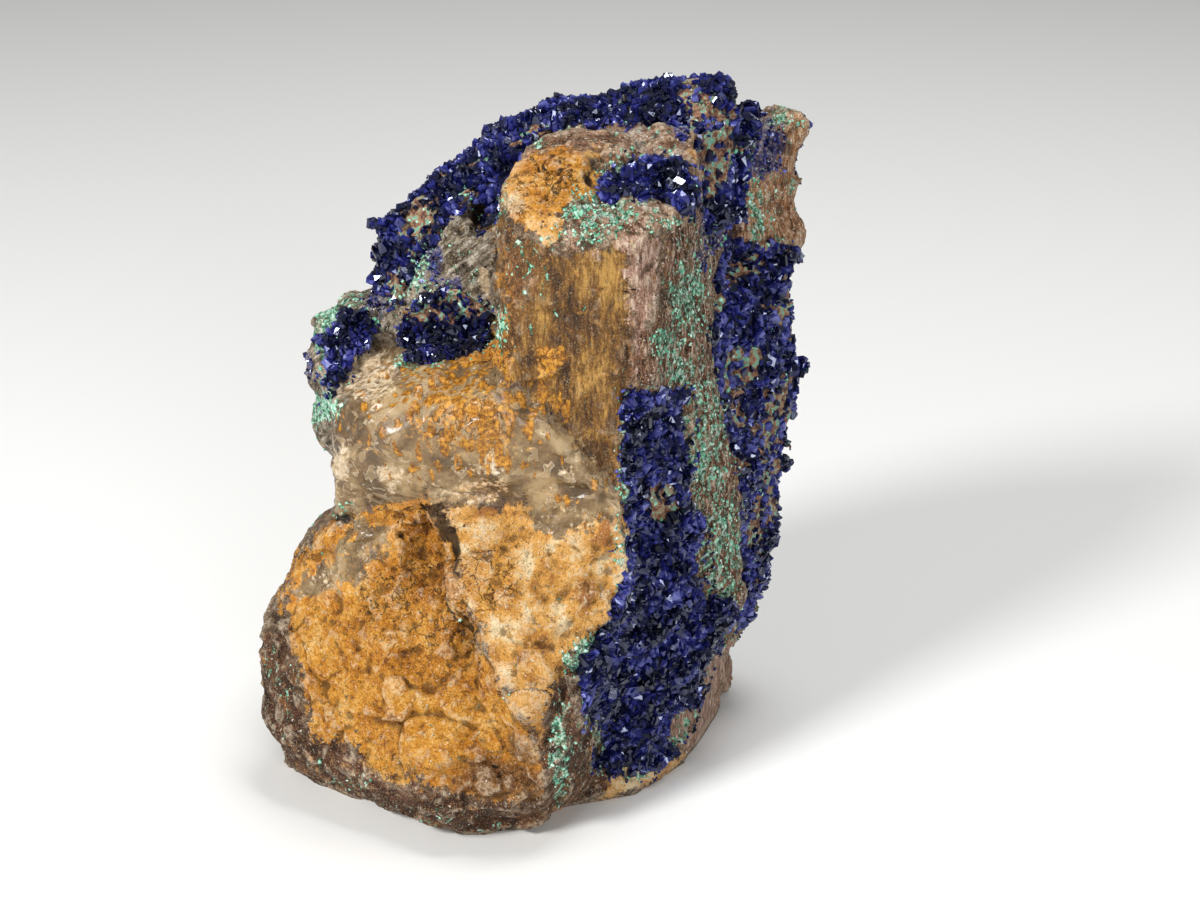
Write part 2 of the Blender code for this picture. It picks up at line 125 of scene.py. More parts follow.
# Each kind of stone fills its outlines; a later kind lies over an earlier one.
STONE_OUTLINES = {
    "golden": (
        ((484, 205), (505, 222), (530, 240), (560, 252), (600, 244), (628, 236), (636, 262), (634, 330),
         (632, 420), (638, 470), (636, 522), (612, 500), (590, 472), (566, 440), (545, 412), (520, 392),
         (490, 368), (480, 345), (478, 280)),
    ),
    "mauve": (
        ((626, 236), (654, 234), (662, 270), (656, 312), (644, 326), (636, 400), (630, 330)),
        ((562, 702), (592, 698), (594, 752), (572, 790), (552, 790), (556, 740)),
        ((668, 692), (722, 640), (748, 640), (724, 742), (676, 760), (640, 772)),
    ),
    "ochre": (
        ((332, 512), (395, 500), (430, 494), (446, 512), (460, 560), (474, 640), (500, 682), (530, 722),
         (546, 766), (538, 796), (500, 802), (442, 790), (394, 782), (352, 750), (312, 742), (300, 690),
         (296, 640), (282, 606), (288, 560), (312, 545)),
        ((508, 168), (540, 148), (586, 150), (600, 168), (596, 196), (560, 214), (524, 212)),
        ((452, 330), (500, 330), (504, 372), (470, 366), (448, 352)),
    ),
    "peach": (
        ((426, 498), (446, 506), (470, 500), (496, 506), (524, 498), (600, 516), (632, 504), (634, 580),
         (616, 616), (586, 640), (560, 676), (546, 716), (540, 764), (526, 728), (500, 690), (484, 632),
         (462, 606), (458, 560), (440, 520)),
        ((604, 772), (650, 752), (688, 760), (690, 772), (640, 794), (600, 800)),
        ((496, 192), (508, 160), (520, 154), (530, 206), (566, 214), (556, 242), (520, 234)),
    ),
    "quartz": (
        ((322, 528), (330, 440), (336, 398), (346, 366), (378, 338), (410, 356), (445, 350), (482, 348),
         (500, 374), (540, 404), (575, 440), (612, 488), (632, 506), (608, 524), (582, 518), (562, 536),
         (540, 530), (524, 500), (496, 508), (470, 502), (446, 506), (424, 496), (392, 504), (352, 524)),
        ((354, 524), (388, 524), (388, 554), (362, 574), (330, 592), (292, 602), (292, 584), (330, 562)),
    ),
    "dark": (
        ((250, 640), (284, 626), (298, 690), (306, 736), (350, 748), (392, 786), (442, 796), (500, 810),
         (552, 804), (600, 806), (690, 776), (700, 800), (560, 850), (440, 850), (300, 800), (250, 740)),
        ((552, 690), (574, 650), (612, 626), (616, 700), (612, 770), (590, 802), (546, 804), (546, 740)),
    ),
    "strip": (
        ((660, 238), (700, 212), (744, 198), (740, 282), (716, 343), (728, 400), (740, 460), (746, 540),
         (750, 640), (715, 640), (698, 560), (650, 520), (650, 480), (690, 470), (690, 398), (640, 400),
         (640, 330), (660, 310), (668, 280)),
    ),
    "ridge": (
        ((740, 180), (758, 108), (818, 108), (814, 210), (802, 280), (762, 262), (738, 240)),
        ((757, 446), (773, 446), (775, 548), (758, 544)),
        ((790, 306), (810, 306), (810, 346), (790, 346)),
    ),
    "rim": (
        ((600, 108), (700, 108), (730, 112), (726, 172), (712, 216), (664, 232), (600, 244), (560, 246),
         (566, 216), (600, 196), (604, 164), (584, 148), (540, 146), (516, 156), (540, 126), (600, 122)),
    ),
    "grey": (
        ((400, 215), (430, 196), (470, 222), (500, 236), (498, 330), (470, 330), (430, 312), (398, 322),
         (382, 300), (388, 250)),
        ((290, 300), (345, 286), (420, 294), (410, 336), (352, 350), (338, 380), (334, 452), (296, 446)),
    ),
}

# Height in millimetres of each kind's relief: broad and small facets, fine grain,
# rounded lumps, upright flutes, and crags.
PLAIN_RELIEF = (1.00, 0.28, 0.14, 0.10, 0.05, 0.70)
STONE_RELIEF = {
    "golden": (0.45, 0.08, 0.05, 0.05, 0.12, 0.20),
    "mauve": (0.40, 0.10, 0.06, 0.00, 0.20, 0.15),
    "quartz": (0.80, 0.06, 0.02, 0.00, 0.00, 0.05),
    "ochre": (0.85, 0.28, 0.22, 0.14, 0.00, 1.10),
    "peach": (0.60, 0.26, 0.20, 0.08, 0.00, 0.70),
    "dark": (0.90, 0.28, 0.18, 0.08, 0.05, 0.60),
    "strip": (0.35, 0.14, 0.14, 0.05, 0.32, 0.20),
    "ridge": (0.45, 0.12, 0.08, 0.05, 0.36, 0.15),
    "rim": (0.70, 0.24, 0.18, 0.05, 0.10, 0.60),
    "grey": (0.35, 0.14, 0.08, 0.60, 0.00, 0.25),
}

# Malachite specks scattered over each kind of stone, on the same scale as the spots below.
MALACHITE_ON_STONE = {
    "strip": 0.44, "ridge": 0.39, "rim": 0.41, "grey": 0.4,
    "dark": 0.4, "golden": 0.35, "ochre": 0.34, "peach": 0.33,
}

# Stains, growths and painted shade, as (across, down, half width, half height, amount) ellipses in the view.
SPOTS = {
    "malachite": (
        (600, 212, 44, 34, 0.56), (640, 205, 30, 22, 0.5), (560, 238, 34, 14, 0.48), (610, 172, 20, 28, 0.48),
        (500, 190, 8, 44, 0.46), (501, 330, 8, 28, 0.56), (520, 262, 20, 50, 0.44), (528, 142, 26, 6, 0.52),
        (665, 225, 35, 14, 0.48), (686, 300, 20, 44, 0.58), (668, 344, 20, 18, 0.58),
        (680, 374, 18, 22, 0.56), (706, 440, 28, 90, 0.54), (720, 560, 26, 90, 0.56),
        (664, 506, 18, 26, 0.42), (622, 540, 12, 36, 0.48), (738, 610, 16, 40, 0.5), (755, 216, 12, 44, 0.56),
        (774, 220, 10, 60, 0.46), (785, 120, 16, 12, 0.56), (792, 184, 8, 12, 0.55), (742, 254, 14, 12, 0.52),
        (764, 430, 12, 24, 0.52), (756, 524, 10, 32, 0.56), (776, 560, 12, 24, 0.56), (786, 430, 14, 30, 0.5),
        (752, 590, 18, 40, 0.5), (416, 264, 14, 36, 0.58), (400, 300, 34, 14, 0.46), (432, 300, 34, 12, 0.44),
        (330, 330, 14, 38, 0.66), (322, 408, 18, 16, 0.68), (350, 300, 30, 10, 0.5), (372, 326, 26, 12, 0.46),
        (404, 362, 14, 12, 0.54), (438, 366, 14, 8, 0.5), (474, 352, 12, 8, 0.48), (342, 512, 10, 12, 0.52),
        (334, 550, 28, 12, 0.42), (590, 664, 24, 30, 0.64), (606, 730, 9, 44, 0.6), (560, 750, 10, 60, 0.58),
        (286, 690, 18, 50, 0.42), (350, 782, 44, 16, 0.43), (450, 822, 80, 14, 0.42),
        (520, 640, 40, 60, 0.35), (430, 700, 110, 60, 0.35), (400, 600, 60, 60, 0.33),
        (540, 300, 40, 80, 0.38), (580, 330, 44, 100, 0.34), (470, 410, 90, 40, 0.34),
    ),
    "film": (
        (754, 144, 26, 28, 0.72), (734, 180, 12, 34, 0.62), (714, 222, 18, 34, 0.56), (704, 262, 10, 20, 0.5),
        (628, 122, 8, 8, 0.7), (684, 126, 12, 14, 0.6), (432, 258, 12, 22, 0.55), (448, 284, 14, 10, 0.55),
        (376, 290, 10, 30, 0.55), (304, 364, 8, 14, 0.7), (400, 300, 50, 6, 0.5), (430, 232, 14, 10, 0.5),
        (742, 340, 10, 60, 0.5), (640, 186, 20, 8, 0.5), (760, 600, 14, 20, 0.5), (770, 258, 12, 12, 0.5),
    ),
    "drops": (
        (470, 392, 70, 26, 0.62), (480, 430, 60, 34, 0.58), (430, 430, 34, 34, 0.52),
        (540, 400, 24, 20, 0.56), (400, 430, 34, 20, 0.4), (450, 372, 50, 12, 0.55), (360, 410, 40, 10, 0.46),
        (440, 466, 40, 20, 0.4), (540, 440, 30, 30, 0.34), (590, 500, 34, 20, 0.34), (550, 362, 14, 16, 0.55),
        (360, 436, 14, 12, 0.4),
    ),
    "warm": (
        (420, 600, 66, 56, 0.62), (420, 522, 36, 26, 0.6), (440, 660, 50, 40, 0.5), (490, 580, 34, 36, 0.6),
        (520, 630, 40, 30, 0.45), (540, 176, 40, 26, 0.62), (516, 214, 12, 12, 0.6), (480, 790, 60, 10, 0.4),
        (400, 764, 60, 14, 0.5), (340, 640, 30, 40, 0.45), (300, 560, 30, 14, 0.5), (590, 580, 30, 24, 0.45),
        (480, 350, 24, 20, 0.6), (548, 364, 12, 18, 0.6), (709, 142, 14, 26, 0.7), (505, 300, 9, 60, 0.5),
        (600, 150, 24, 14, 0.5), (520, 300, 20, 60, 0.36), (580, 360, 40, 80, 0.3), (476, 490, 40, 16, 0.47),
        (470, 420, 70, 44, 0.5), (420, 720, 60, 24, 0.36), (404, 312, 14, 8, 0.5),
    ),
    "pale": (
        (366, 374, 36, 36, 0.58), (474, 488, 50, 22, 0.48), (342, 464, 12, 18, 0.62), (388, 476, 14, 14, 0.6),
        (490, 464, 9, 16, 0.66), (566, 476, 30, 32, 0.42), (560, 420, 20, 20, 0.4), (350, 500, 26, 14, 0.45),
        (600, 576, 34, 40, 0.45), (510, 560, 50, 20, 0.4), (508, 206, 16, 12, 0.6), (428, 746, 20, 16, 0.4),
        (470, 700, 70, 40, 0.36), (330, 580, 40, 12, 0.45), (638, 262, 9, 34, 0.45), (484, 279, 7, 10, 0.75),
        (602, 268, 20, 22, 0.42), (644, 218, 16, 8, 0.45), (580, 640, 30, 20, 0.4), (572, 520, 50, 14, 0.42),
    ),
    "rust": (
        (284, 670, 22, 60, 0.5), (500, 780, 64, 24, 0.66), (430, 774, 60, 12, 0.52), (300, 600, 14, 50, 0.4),
        (520, 262, 26, 66, 0.52), (630, 380, 6, 56, 0.6), (612, 292, 30, 4, 0.55), (470, 606, 8, 40, 0.5),
        (350, 700, 50, 40, 0.4), (530, 744, 24, 50, 0.6), (600, 500, 30, 10, 0.45), (616, 520, 16, 50, 0.5),
        (580, 452, 46, 4, 0.5), (536, 140, 24, 12, 0.52), (548, 196, 26, 10, 0.5), (590, 172, 12, 20, 0.5),
        (506, 330, 6, 40, 0.45), (620, 440, 14, 40, 0.45), (410, 240, 16, 10, 0.5), (520, 690, 22, 44, 0.52),
        (516, 280, 16, 60, 0.55), (360, 440, 16, 22, 0.42),
    ),
    # Painted shade along crevices and under overhangs, where the rock is also sunk into hollows.
    "shade": (
        (434, 505, 10, 4, 0.8), (432, 508, 7, 6, 0.9), (440, 520, 6, 8, 0.9), (447, 533, 5, 9, 0.9),
        (454, 547, 4, 9, 0.85), (458, 564, 3, 12, 0.8), (404, 536, 9, 4, 0.6), (414, 522, 14, 2, 0.6),
        (468, 612, 2, 22, 0.6), (482, 214, 9, 14, 0.95), (420, 303, 50, 3, 0.7), (356, 322, 9, 9, 0.6),
        (498, 676, 2, 14, 0.6), (344, 520, 8, 4, 0.85), (664, 182, 22, 5, 0.6), (497, 767, 15, 1.5, 0.65),
        (640, 178, 8, 8, 0.5), (559, 161, 9, 4, 0.65), (590, 174, 7, 9, 0.6), (538, 166, 5, 4, 0.5),
        (611, 291, 30, 1.5, 0.6), (627, 390, 2, 56, 0.55), (700, 150, 3, 30, 0.6),
    ),
}

# How much of these stains is scattered over the whole rock.
SCATTERED_STAINS = {"warm": 0.37, "rust": 0.38, "pale": 0.31}
# How much less of a stain there is on some kinds of stone.
REDUCED_STAINS = {"rust": (0.12, "peach", "quartz"), "pale": (0.1, "dark")}

# Upright edges whose right side stands proud: (across, down) places and the height.
SCARPS = (
    (((426, 500), (442, 524), (457, 557), (458, 600), (480, 630), (493, 662), (505, 690), (530, 740)), 1.8),
    (((596, 440), (604, 480), (598, 512), (590, 530)), -0.7),
    (((640, 300), (640, 340), (640, 400)), 0.5),
)
# In pixels: how a scarp fades in at its top and out at its foot, its edge, and its back slope.
SCARP_START = 10
SCARP_FADE = 40
SCARP_EDGE = (-3, 4)
SCARP_BACK = (10, 90)

# Where the crusts leave the rock bare, as ellipses like those above.
BARE_CRUST = (
    (709, 146, 14, 30, 1.3), (418, 224, 16, 24, 0.9), (764, 430, 9, 22, 0.8), (766, 495, 6, 42, 0.7),
    (756, 524, 7, 28, 0.8), (787, 434, 12, 26, 0.8), (776, 558, 8, 16, 0.8), (440, 178, 8, 16, 0.6),
    (730, 120, 8, 12, 0.6), (664, 501, 11, 14, 1.1), (446, 292, 46, 19, 1.1),
)

# Where the crusts end short of their outlines.
TRIMMED_CRUST = (
    (700, 424, 16, 60, 1), (620, 394, 10, 14, 1), (718, 556, 16, 56, 1), (722, 690, 18, 40, 1),
    (698, 736, 26, 30, 1), (664, 782, 30, 16, 1), (584, 750, 30, 44, 1), (640, 797, 46, 30, 1),
    (604, 598, 13, 36, 1), (652, 380, 42, 20, 1), (489, 110, 8, 10, 1),
)

# What the sides that the view doesn't show are made of: noise size, seed, threshold and softness.
HIDDEN_STONE = {
    "ochre": (26, 71, 0.02, 0.10),
    "quartz": (18, 83, 0.18, 0.08),
    "dark": (23, 89, 0.04, 0.12),
    "grey": (19, 91, 0.18, 0.12),
}
# Stains on those sides: least amount, what noise adds to it, the noise's size and seed, where it
# starts and where it is whole. The first two lie on the back alone, the others on all of them.
BACK_STAINS = {"malachite": (0.36, 0.18, 20, 97, 0.0, 0.4), "film": (0.0, 0.6, 22, 103, 0.15, 0.45)}
HIDDEN_STAINS = {"warm": (0.0, 0.55, 14, 109, 0.0, 0.4), "rust": (0.0, 0.55, 17, 127, 0.0, 0.4)}
BACK_START = (-4, 8)


# ---- noise over arrays of points


def hashed(cell, seed):
    """Four repeatable numbers from 0 to 1 for each lattice cell."""
    h = np.bitwise_xor.reduce(cell * (73856093, 19349663, 83492791), axis=1) ^ (seed * 2654435761)
    h &= 0xFFFFFFFF
    h = ((h ^ (h >> 15)) * 2246822519) & 0xFFFFFFFF
    h = ((h ^ (h >> 13)) * 3266489917) & 0xFFFFFFFF
    h ^= h >> 16
    return np.stack([(h >> shift) & 0xFF for shift in (0, 8, 16, 24)], 1) / 255


def steps_round(*steps):
    """Every step to a neighbouring lattice cell made of these steps along each axis."""
    return [(dx, dy, dz) for dx in steps for dy in steps for dz in steps]


def gradient_noise(points, seed=0):
    """Smooth noise from about -1 to 1, with features one unit across."""
    cell = np.floor(points).astype(np.int64)
    part = points - cell
    fade = part * part * part * (part * (part * 6 - 15) + 10)
    total = np.zeros(len(points))
    for steps in steps_round(0, 1):
        slope = hashed(cell + steps, seed)[:, :3] * 2 - 1
        weight = np.ones(len(points))
        for axis, step in enumerate(steps):
            weight = weight * (fade[:, axis] if step else 1 - fade[:, axis])
        total += weight * (slope * (part - steps)).sum(1)
    return total * 1.4


def fractal(points, size, octaves=4, seed=0, roughness=0.5):
    """Layered noise whose largest features are size millimetres across."""
    total, strength, scale = np.zeros(len(points)), 1.0, 1.0 / size
    for octave in range(octaves):
        total += strength * gradient_noise(points * scale + 17.3 * octave, seed + 11 * octave)
        strength *= roughness
        scale *= 2.03
    return total


def cells(points, size, seed=0):
    """Splits space into cells: offset from the nearest seed in cell units, its number, and the gap
    between the nearest and the second nearest, which is 0 on a cell's edge."""
    scaled = points / size
    cell = np.floor(scaled).astype(np.int64)
    first = np.full(len(points), 9.0)
    second = np.full(len(points), 9.0)
    name = np.zeros(len(points))
    offset = np.zeros((len(points), 3))
    for steps in steps_round(-1, 0, 1):
        numbers = hashed(cell + steps, seed)
        away = scaled - (cell + steps) - numbers[:, :3]
        far = np.linalg.norm(away, axis=1)
        nearer = far < first
        second = np.where(nearer, first, np.minimum(second, far))
        name = np.where(nearer, numbers[:, 3], name)
        offset = np.where(nearer[:, None], away, offset)
        first = np.where(nearer, far, first)
    return offset, name, second - first


def smooth_step(value, low, high):
    share = np.clip((value - low) / (high - low), 0, 1)
    return share * share * (3 - 2 * share)


def facets(points, size, seed):
    """Height from about -1 to 1 of a surface broken into tilted faces size millimetres across."""
    sway = np.stack([gradient_noise(points / (0.7 * size), seed + 20 * k) for k in (1, 2, 3)], 1)
    offset, name, edge = cells(points + 0.3 * size * sway, size, seed)
    tilt = np.stack([np.cos(name * 40 + k) for k in (0, 2.1, 4.2)], 1)
    return ((name - 0.5) + 1.1 * (offset * tilt).sum(1)) * smooth_step(edge, -0.1, 0.14)


def ridged(points, size, seed):
    """Height from about -1 to 1 with sharp crests and wide hollows."""
    total, strength = np.zeros(len(points)), 0.6
    for octave in range(4):
        total += strength * (0.45 - np.abs(gradient_noise(points / size + 9.1 * octave, seed + octave)))
        strength *= 0.42
        size *= 0.45
    return 1.6 * total


def crack_lines(points, size, seed):
    """1 in thin winding cracks, 0 away from them."""
    line = np.abs(fractal(points * (1, 1, 1.5), size, 4, seed, 0.6))
    patch = smooth_step(fractal(points, 2.0 * size, 2, seed + 5), -0.05, 0.2)
    return (1 - smooth_step(line, 0.01, 0.06)) * patch


# ---- reading and building meshes


def mesh_arrays(mesh):
    """Vertex places in millimetres and vertex normals of a mesh, as arrays."""
    places = np.empty(len(mesh.vertices) * 3)
    mesh.vertices.foreach_get("co", places)
    normals = np.empty(len(mesh.vertices) * 3)
    mesh.vertices.foreach_get("normal", normals)
    return places.reshape(-1, 3) / MM, normals.reshape(-1, 3)


def triangles_of(mesh):
    mesh.calc_loop_triangles()
    faces = np.empty(len(mesh.loop_triangles) * 3, np.int64)
    mesh.loop_triangles.foreach_get("vertices", faces)
    return faces.reshape(-1, 3)


def write_places(mesh, places):
    mesh.vertices.foreach_set("co", (places * MM).ravel())
    mesh.update()


def linked(name, content):
    """An object with this mesh, light or camera, linked to the scene."""
    thing = bpy.data.objects.new(name, content)
    bpy.context.scene.collection.objects.link(thing)
    return thing


def mesh_from(name, places, faces):
    mesh = bpy.data.meshes.new(name)
    mesh.from_pydata(places * MM, [], faces)
    mesh.update()
    return mesh


def welded_copy(node, name):
    """A copy of a CAD node with its split corners joined, linked to the scene."""
    bm = bmesh.new()
    bm.from_mesh(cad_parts[node].data)
    bmesh.ops.remove_doubles(bm, verts=bm.verts, dist=1e-6)
    mesh = bpy.data.meshes.new(name)
    bm.to_mesh(mesh)
    bm.free()
    return linked(name, mesh)


def apply_modifiers(piece):
    bpy.context.view_layer.update()
    graph = bpy.context.evaluated_depsgraph_get()
    result = bpy.data.meshes.new_from_object(piece.evaluated_get(graph))
    piece.modifiers.clear()
    piece.data = result
    result.name = piece.name


def remesh(piece, voxel, smoothing):
    fuse = piece.modifiers.new("fuse", "REMESH")
    fuse.mode = "VOXEL"
    fuse.voxel_size = voxel * MM
    soften = piece.modifiers.new("soften", "SMOOTH")
    soften.iterations = smoothing
    apply_modifiers(piece)


def store(mesh, name, values):
    """Keeps one number for each vertex, for the material to read."""
    layer = mesh.attributes.new(name, "FLOAT", "POINT")
    layer.data.foreach_set("value", np.ascontiguousarray(values, np.float32))


# The rock's material paints highlight on the crests and shade in the crevices that this finds.
def crest_curvature(mesh, points, normals):
    """About 1 on sharp crests, 0 on flat faces and -1 in crevices, for each vertex."""
    ends = np.empty(len(mesh.edges) * 2, np.int64)
    mesh.edges.foreach_get("vertices", ends)
    first, second = ends.reshape(-1, 2).T
    count = np.bincount(ends, minlength=len(points))

    def around(values):
        total = np.bincount(first, values[second], len(points))
        return (total + np.bincount(second, values[first], len(points))) / np.maximum(count, 1)

    sunk = points - np.stack([around(points[:, axis]) for axis in range(3)], 1)
    curvature = (sunk * normals).sum(1) / CURVATURE_HEIGHT
    for _ in range(2):
        curvature = 0.5 * curvature + 0.5 * around(curvature)
    return np.clip(curvature, -1, 1)


def tree_of(piece):
    return BVHTree.FromObject(piece, bpy.context.evaluated_depsgraph_get())


def nearest_on(tree, points):
    """The nearest place on a surface to each point, and the surface's normal there."""
    hits = [tree.find_nearest(Vector(point * MM)) for point in points]
    return np.array([hit[0] for hit in hits]) / MM, np.array([hit[1] for hit in hits])


def gaps_to(piece, points, reach):
    """Distance in millimetres from each point to a piece's surface, cut off at reach."""
    tree = tree_of(piece)
    corners, _ = mesh_arrays(piece.data)
    near = ((points > corners.min(0) - reach) & (points < corners.max(0) + reach)).all(1)
    gaps = np.full(len(points), float(reach))
    for i in np.flatnonzero(near):
        gap = tree.find_nearest(Vector(points[i] * MM), reach * MM)[3]
        if gap is not None:
            gaps[i] = gap / MM
    return gaps


# ---- painting through the view


def to_view(points):
    """Pixel places of points in millimetres in the reference view."""
    away = points * MM - np.array(CAMERA_PLACE)
    depth = away @ np.array(LOOK)
    up = np.array((0, math.sin(CAMERA_ELEVATION), math.cos(CAMERA_ELEVATION)))
    across = VIEW_PIXELS[0] / 2 + FOCAL_PIXELS * away[:, 0] / depth
    down = VIEW_PIXELS[1] / 2 - FOCAL_PIXELS * (away @ up) / depth
    return np.stack([across, down], 1)


def to_ragged_view(points, share=1):
    """Pixel places that wander a little, so that what is placed by them has ragged borders."""
    sway = np.stack([fractal(points, 5, 3, seed) for seed in (31, 47)], 1) * BORDER_SWAY
    return to_view(points) + share * sway


def facing_view(points, normals):
    """1 where the surface is turned to the reference view, 0 where it is turned away."""
    back = np.array(CAMERA_PLACE) - points * MM
    back /= np.linalg.norm(back, axis=1)[:, None]
    return smooth_step((normals * back).sum(1), *SEEN_RANGE)


def inside_outline(pixels, outline):
    """Distance in pixels from the outline's edge: positive inside, negative outside."""
    nearest = np.full(len(pixels), np.inf)
    inside = np.zeros(len(pixels), bool)
    corners = np.array(outline, float)
    for start, end in zip(corners, np.roll(corners, -1, axis=0)):
        side = end - start
        offset = pixels - start
        share = np.clip(offset @ side / (side @ side), 0, 1)
        nearest = np.minimum(nearest, np.linalg.norm(offset - share[:, None] * side, axis=1))
        spans = (start[1] > pixels[:, 1]) != (end[1] > pixels[:, 1])
        rise = side[1] if side[1] else 1
        inside ^= spans & (offset[:, 0] < side[0] * offset[:, 1] / rise)
    return np.where(inside, nearest, -nearest)


def spot_amount(pixels, spots):
    """The amount of the strongest spot at each place."""
    total = np.zeros(len(pixels))
    for across, down, wide, high, amount in spots:
        reach = np.hypot((pixels[:, 0] - across) / wide, (pixels[:, 1] - down) / high)
        lost = 0.5 * smooth_step(reach, *SPOT_RANGE)
        total = np.maximum(total, amount * (1 - lost - 0.5 * (reach > SPOT_RANGE[1])))
    return total


def scarp_heights(pixels):
    """How far the scarps lift the surface: steeply at their edge, and less and less behind it."""
    total = np.zeros(len(pixels))
    for edge, height in SCARPS:
        across, down = np.array(edge, float).T
        reach = pixels[:, 0] - np.interp(pixels[:, 1], down, across)
        ends = smooth_step(pixels[:, 1], down[0] - SCARP_START, down[0] + SCARP_START)
        ends *= 1 - smooth_step(pixels[:, 1], down[-1] - SCARP_FADE, down[-1])
        total += height * ends * smooth_step(reach, *SCARP_EDGE) * (1 - smooth_step(reach, *SCARP_BACK))
    return total


def surface_masks(points, normals):
    """How much of each kind of stone, stain, growth and painted shade each point has."""
    pixels = to_ragged_view(points)
    seen = facing_view(points, normals)
    hidden = 1 - seen
    masks = {}
    for kind, outlines in STONE_OUTLINES.items():
        reach = np.max([inside_outline(pixels, outline) for outline in outlines], axis=0)
        masks[kind] = smooth_step(reach, -BORDER_BLUR, BORDER_BLUR) * seen
    for kind, (size, seed, threshold, softness) in HIDDEN_STONE.items():
        patch = smooth_step(fractal(points, size, 4, seed), threshold, threshold + softness)
        masks[kind] = np.maximum(masks[kind], hidden * patch)
    for name, spots in SPOTS.items():
        masks[name] = seen * spot_amount(pixels, spots)
    behind = hidden * smooth_step(points[:, 1], *BACK_START)
    for share, stains in ((behind, BACK_STAINS), (hidden, HIDDEN_STAINS)):
        for stain, (least, more, size, seed, low, high) in stains.items():
            patch = smooth_step(fractal(points, size, 3, seed), low, high)
            masks[stain] += share * (least + more * patch)
    for kind, amount in MALACHITE_ON_STONE.items():
        masks["malachite"] = np.maximum(masks["malachite"], amount * masks[kind])
    for stain, amount in SCATTERED_STAINS.items():
        masks[stain] = np.maximum(masks[stain], amount)
    for stain, (amount, *kinds) in REDUCED_STAINS.items():
        masks[stain] -= amount * np.max([masks[kind] for kind in kinds], axis=0)
    masks["shade"] = smooth_step(masks["shade"] + 0.3 * fractal(points, 2.0, 3, 131), 0.45, 0.75)
    broken = masks["ochre"] * smooth_step(masks["warm"], 0.42, 0.58)
    masks["cracks"] = broken * crack_lines(points, 7, 269)
    return masks


# ---- rock


def relief_amounts(masks):
    """The six relief heights of each point, blended from the kinds of stone there."""
    amounts = np.tile(np.array(PLAIN_RELIEF)[:, None], (1, len(masks["ochre"])))
    for kind, heights in STONE_RELIEF.items():
        amounts += (np.array(heights)[:, None] - amounts) * masks[kind]
    return amounts


def rock_relief(points, normals):
    """Height in millimetres of the broken surface over the smoothed CAD rock."""
    masks = surface_masks(points, normals)
    broad, small, grain, lumps, flutes, crags = relief_amounts(masks)
    lump_offset, _, _ = cells(points + 0.8 * fractal(points, 4, 2, 5)[:, None], LUMP_SIZE, 221)
    rounded = 0.55 - np.linalg.norm(lump_offset, axis=1)
    upright = points / FLUTE_SIZE
    grooves = 0.5 * gradient_noise(upright, 201) + 0.7 * gradient_noise(upright * 0.42, 207)
    relief = broad * facets(points, BROAD_FACETS, 251) + small * facets(points, SMALL_FACETS, 257)
    relief += grain * fractal(points, GRAIN_SIZE, 3, 241, 0.7)
    relief += lumps * (rounded + 0.6 * fractal(points, 3.2, 3, 263, 0.6))
    relief += flutes * grooves * smooth_step(points[:, 2], *FLUTE_START)
    relief += crags * ridged(points, CRAG_SIZE, 271)
    relief -= CRACK_DEPTH * masks["cracks"]
    relief -= HOLLOW_DEPTH * masks["shade"]
    return relief + facing_view(points, normals) * scarp_heights(to_ragged_view(points, 0.6))


def rock_masks(points, normals):
    """Every mask that the rock's material reads, and which points are clear of the crusts."""
    masks = surface_masks(points, normals)
    gap = np.min([gaps_to(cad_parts[node], points, GAP_REACH) for node in CRUSTS], axis=0)
    masks["fringe"] = 1 - smooth_step(gap, CRUST_CLEARANCE, FRINGE_END)
    return masks, gap > CRUST_CLEARANCE


def build_rock():
    rock = welded_copy("matrix_rock", "rock")
    remesh(rock, ROCK_VOXEL, ROCK_SMOOTHING)
    points, normals = mesh_arrays(rock.data)
    relief = rock_relief(points, normals) * smooth_step(points[:, 2], *RELIEF_START)
    points = points + normals * relief[:, None]
    points[:, 2] = np.where(points[:, 2] < FLAT_FOOT, 0, points[:, 2])
    write_places(rock.data, points)
    thin = rock.modifiers.new("thin_out", "DECIMATE")
    thin.ratio = min(1, ROCK_TRIANGLES / (2 * len(rock.data.polygons)))
    apply_modifiers(rock)
    rock.data.shade_smooth()
    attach(rock, "root")
    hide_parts("matrix_rock")
    return rock


# ---- small shapes set on a surface


def hull_shape(corners):
    """Corner and face arrays of the convex shape round some corners."""
    bm = bmesh.new()
    bmesh.ops.convex_hull(bm, input=[bm.verts.new(corner) for corner in corners])
    bmesh.ops.recalc_face_normals(bm, faces=bm.faces)
    bm.verts.index_update()
    places = np.array([vert.co[:] for vert in bm.verts])
    faces = np.array([[vert.index for vert in face.verts] for face in bm.faces])
    bm.free()
    return places, faces


def crystal_shapes():
    """Three bladed crystals, one unit long, standing along +Z."""
    plate = [(-0.34, 0, -0.5), (0.34, 0, -0.5), (0.42, 0, 0.16), (0.14, 0, 0.5), (-0.3, 0, 0.38)]
    face = ((-0.2, -0.5), (0.26, -0.5), (0.24, 0.1), (-0.12, 0.24))
    plate += [(x, y, z) for y in (-0.13, 0.13) for x, z in face]
    block = [(x, y, -0.5) for x, y in ((-0.3, -0.2), (0.3, -0.16), (0.34, 0.18), (-0.26, 0.22))]
    block += [(-0.34, -0.22, 0.26), (0.28, -0.24, 0.4), (0.36, 0.2, 0.24), (-0.2, 0.24, 0.46)]
    wedge = [(x, y, -0.5) for x, y in ((-0.36, -0.1), (0.36, -0.1), (0.36, 0.1), (-0.36, 0.1))]
    wedge += [(-0.4, -0.11, 0.14), (0.4, -0.11, 0.2), (0.4, 0.11, 0.14), (-0.4, 0.11, 0.2)]
    wedge += [(-0.26, 0, 0.5), (0.2, 0, 0.46)]
    return [hull_shape(corners) for corners in (plate, block, wedge)]


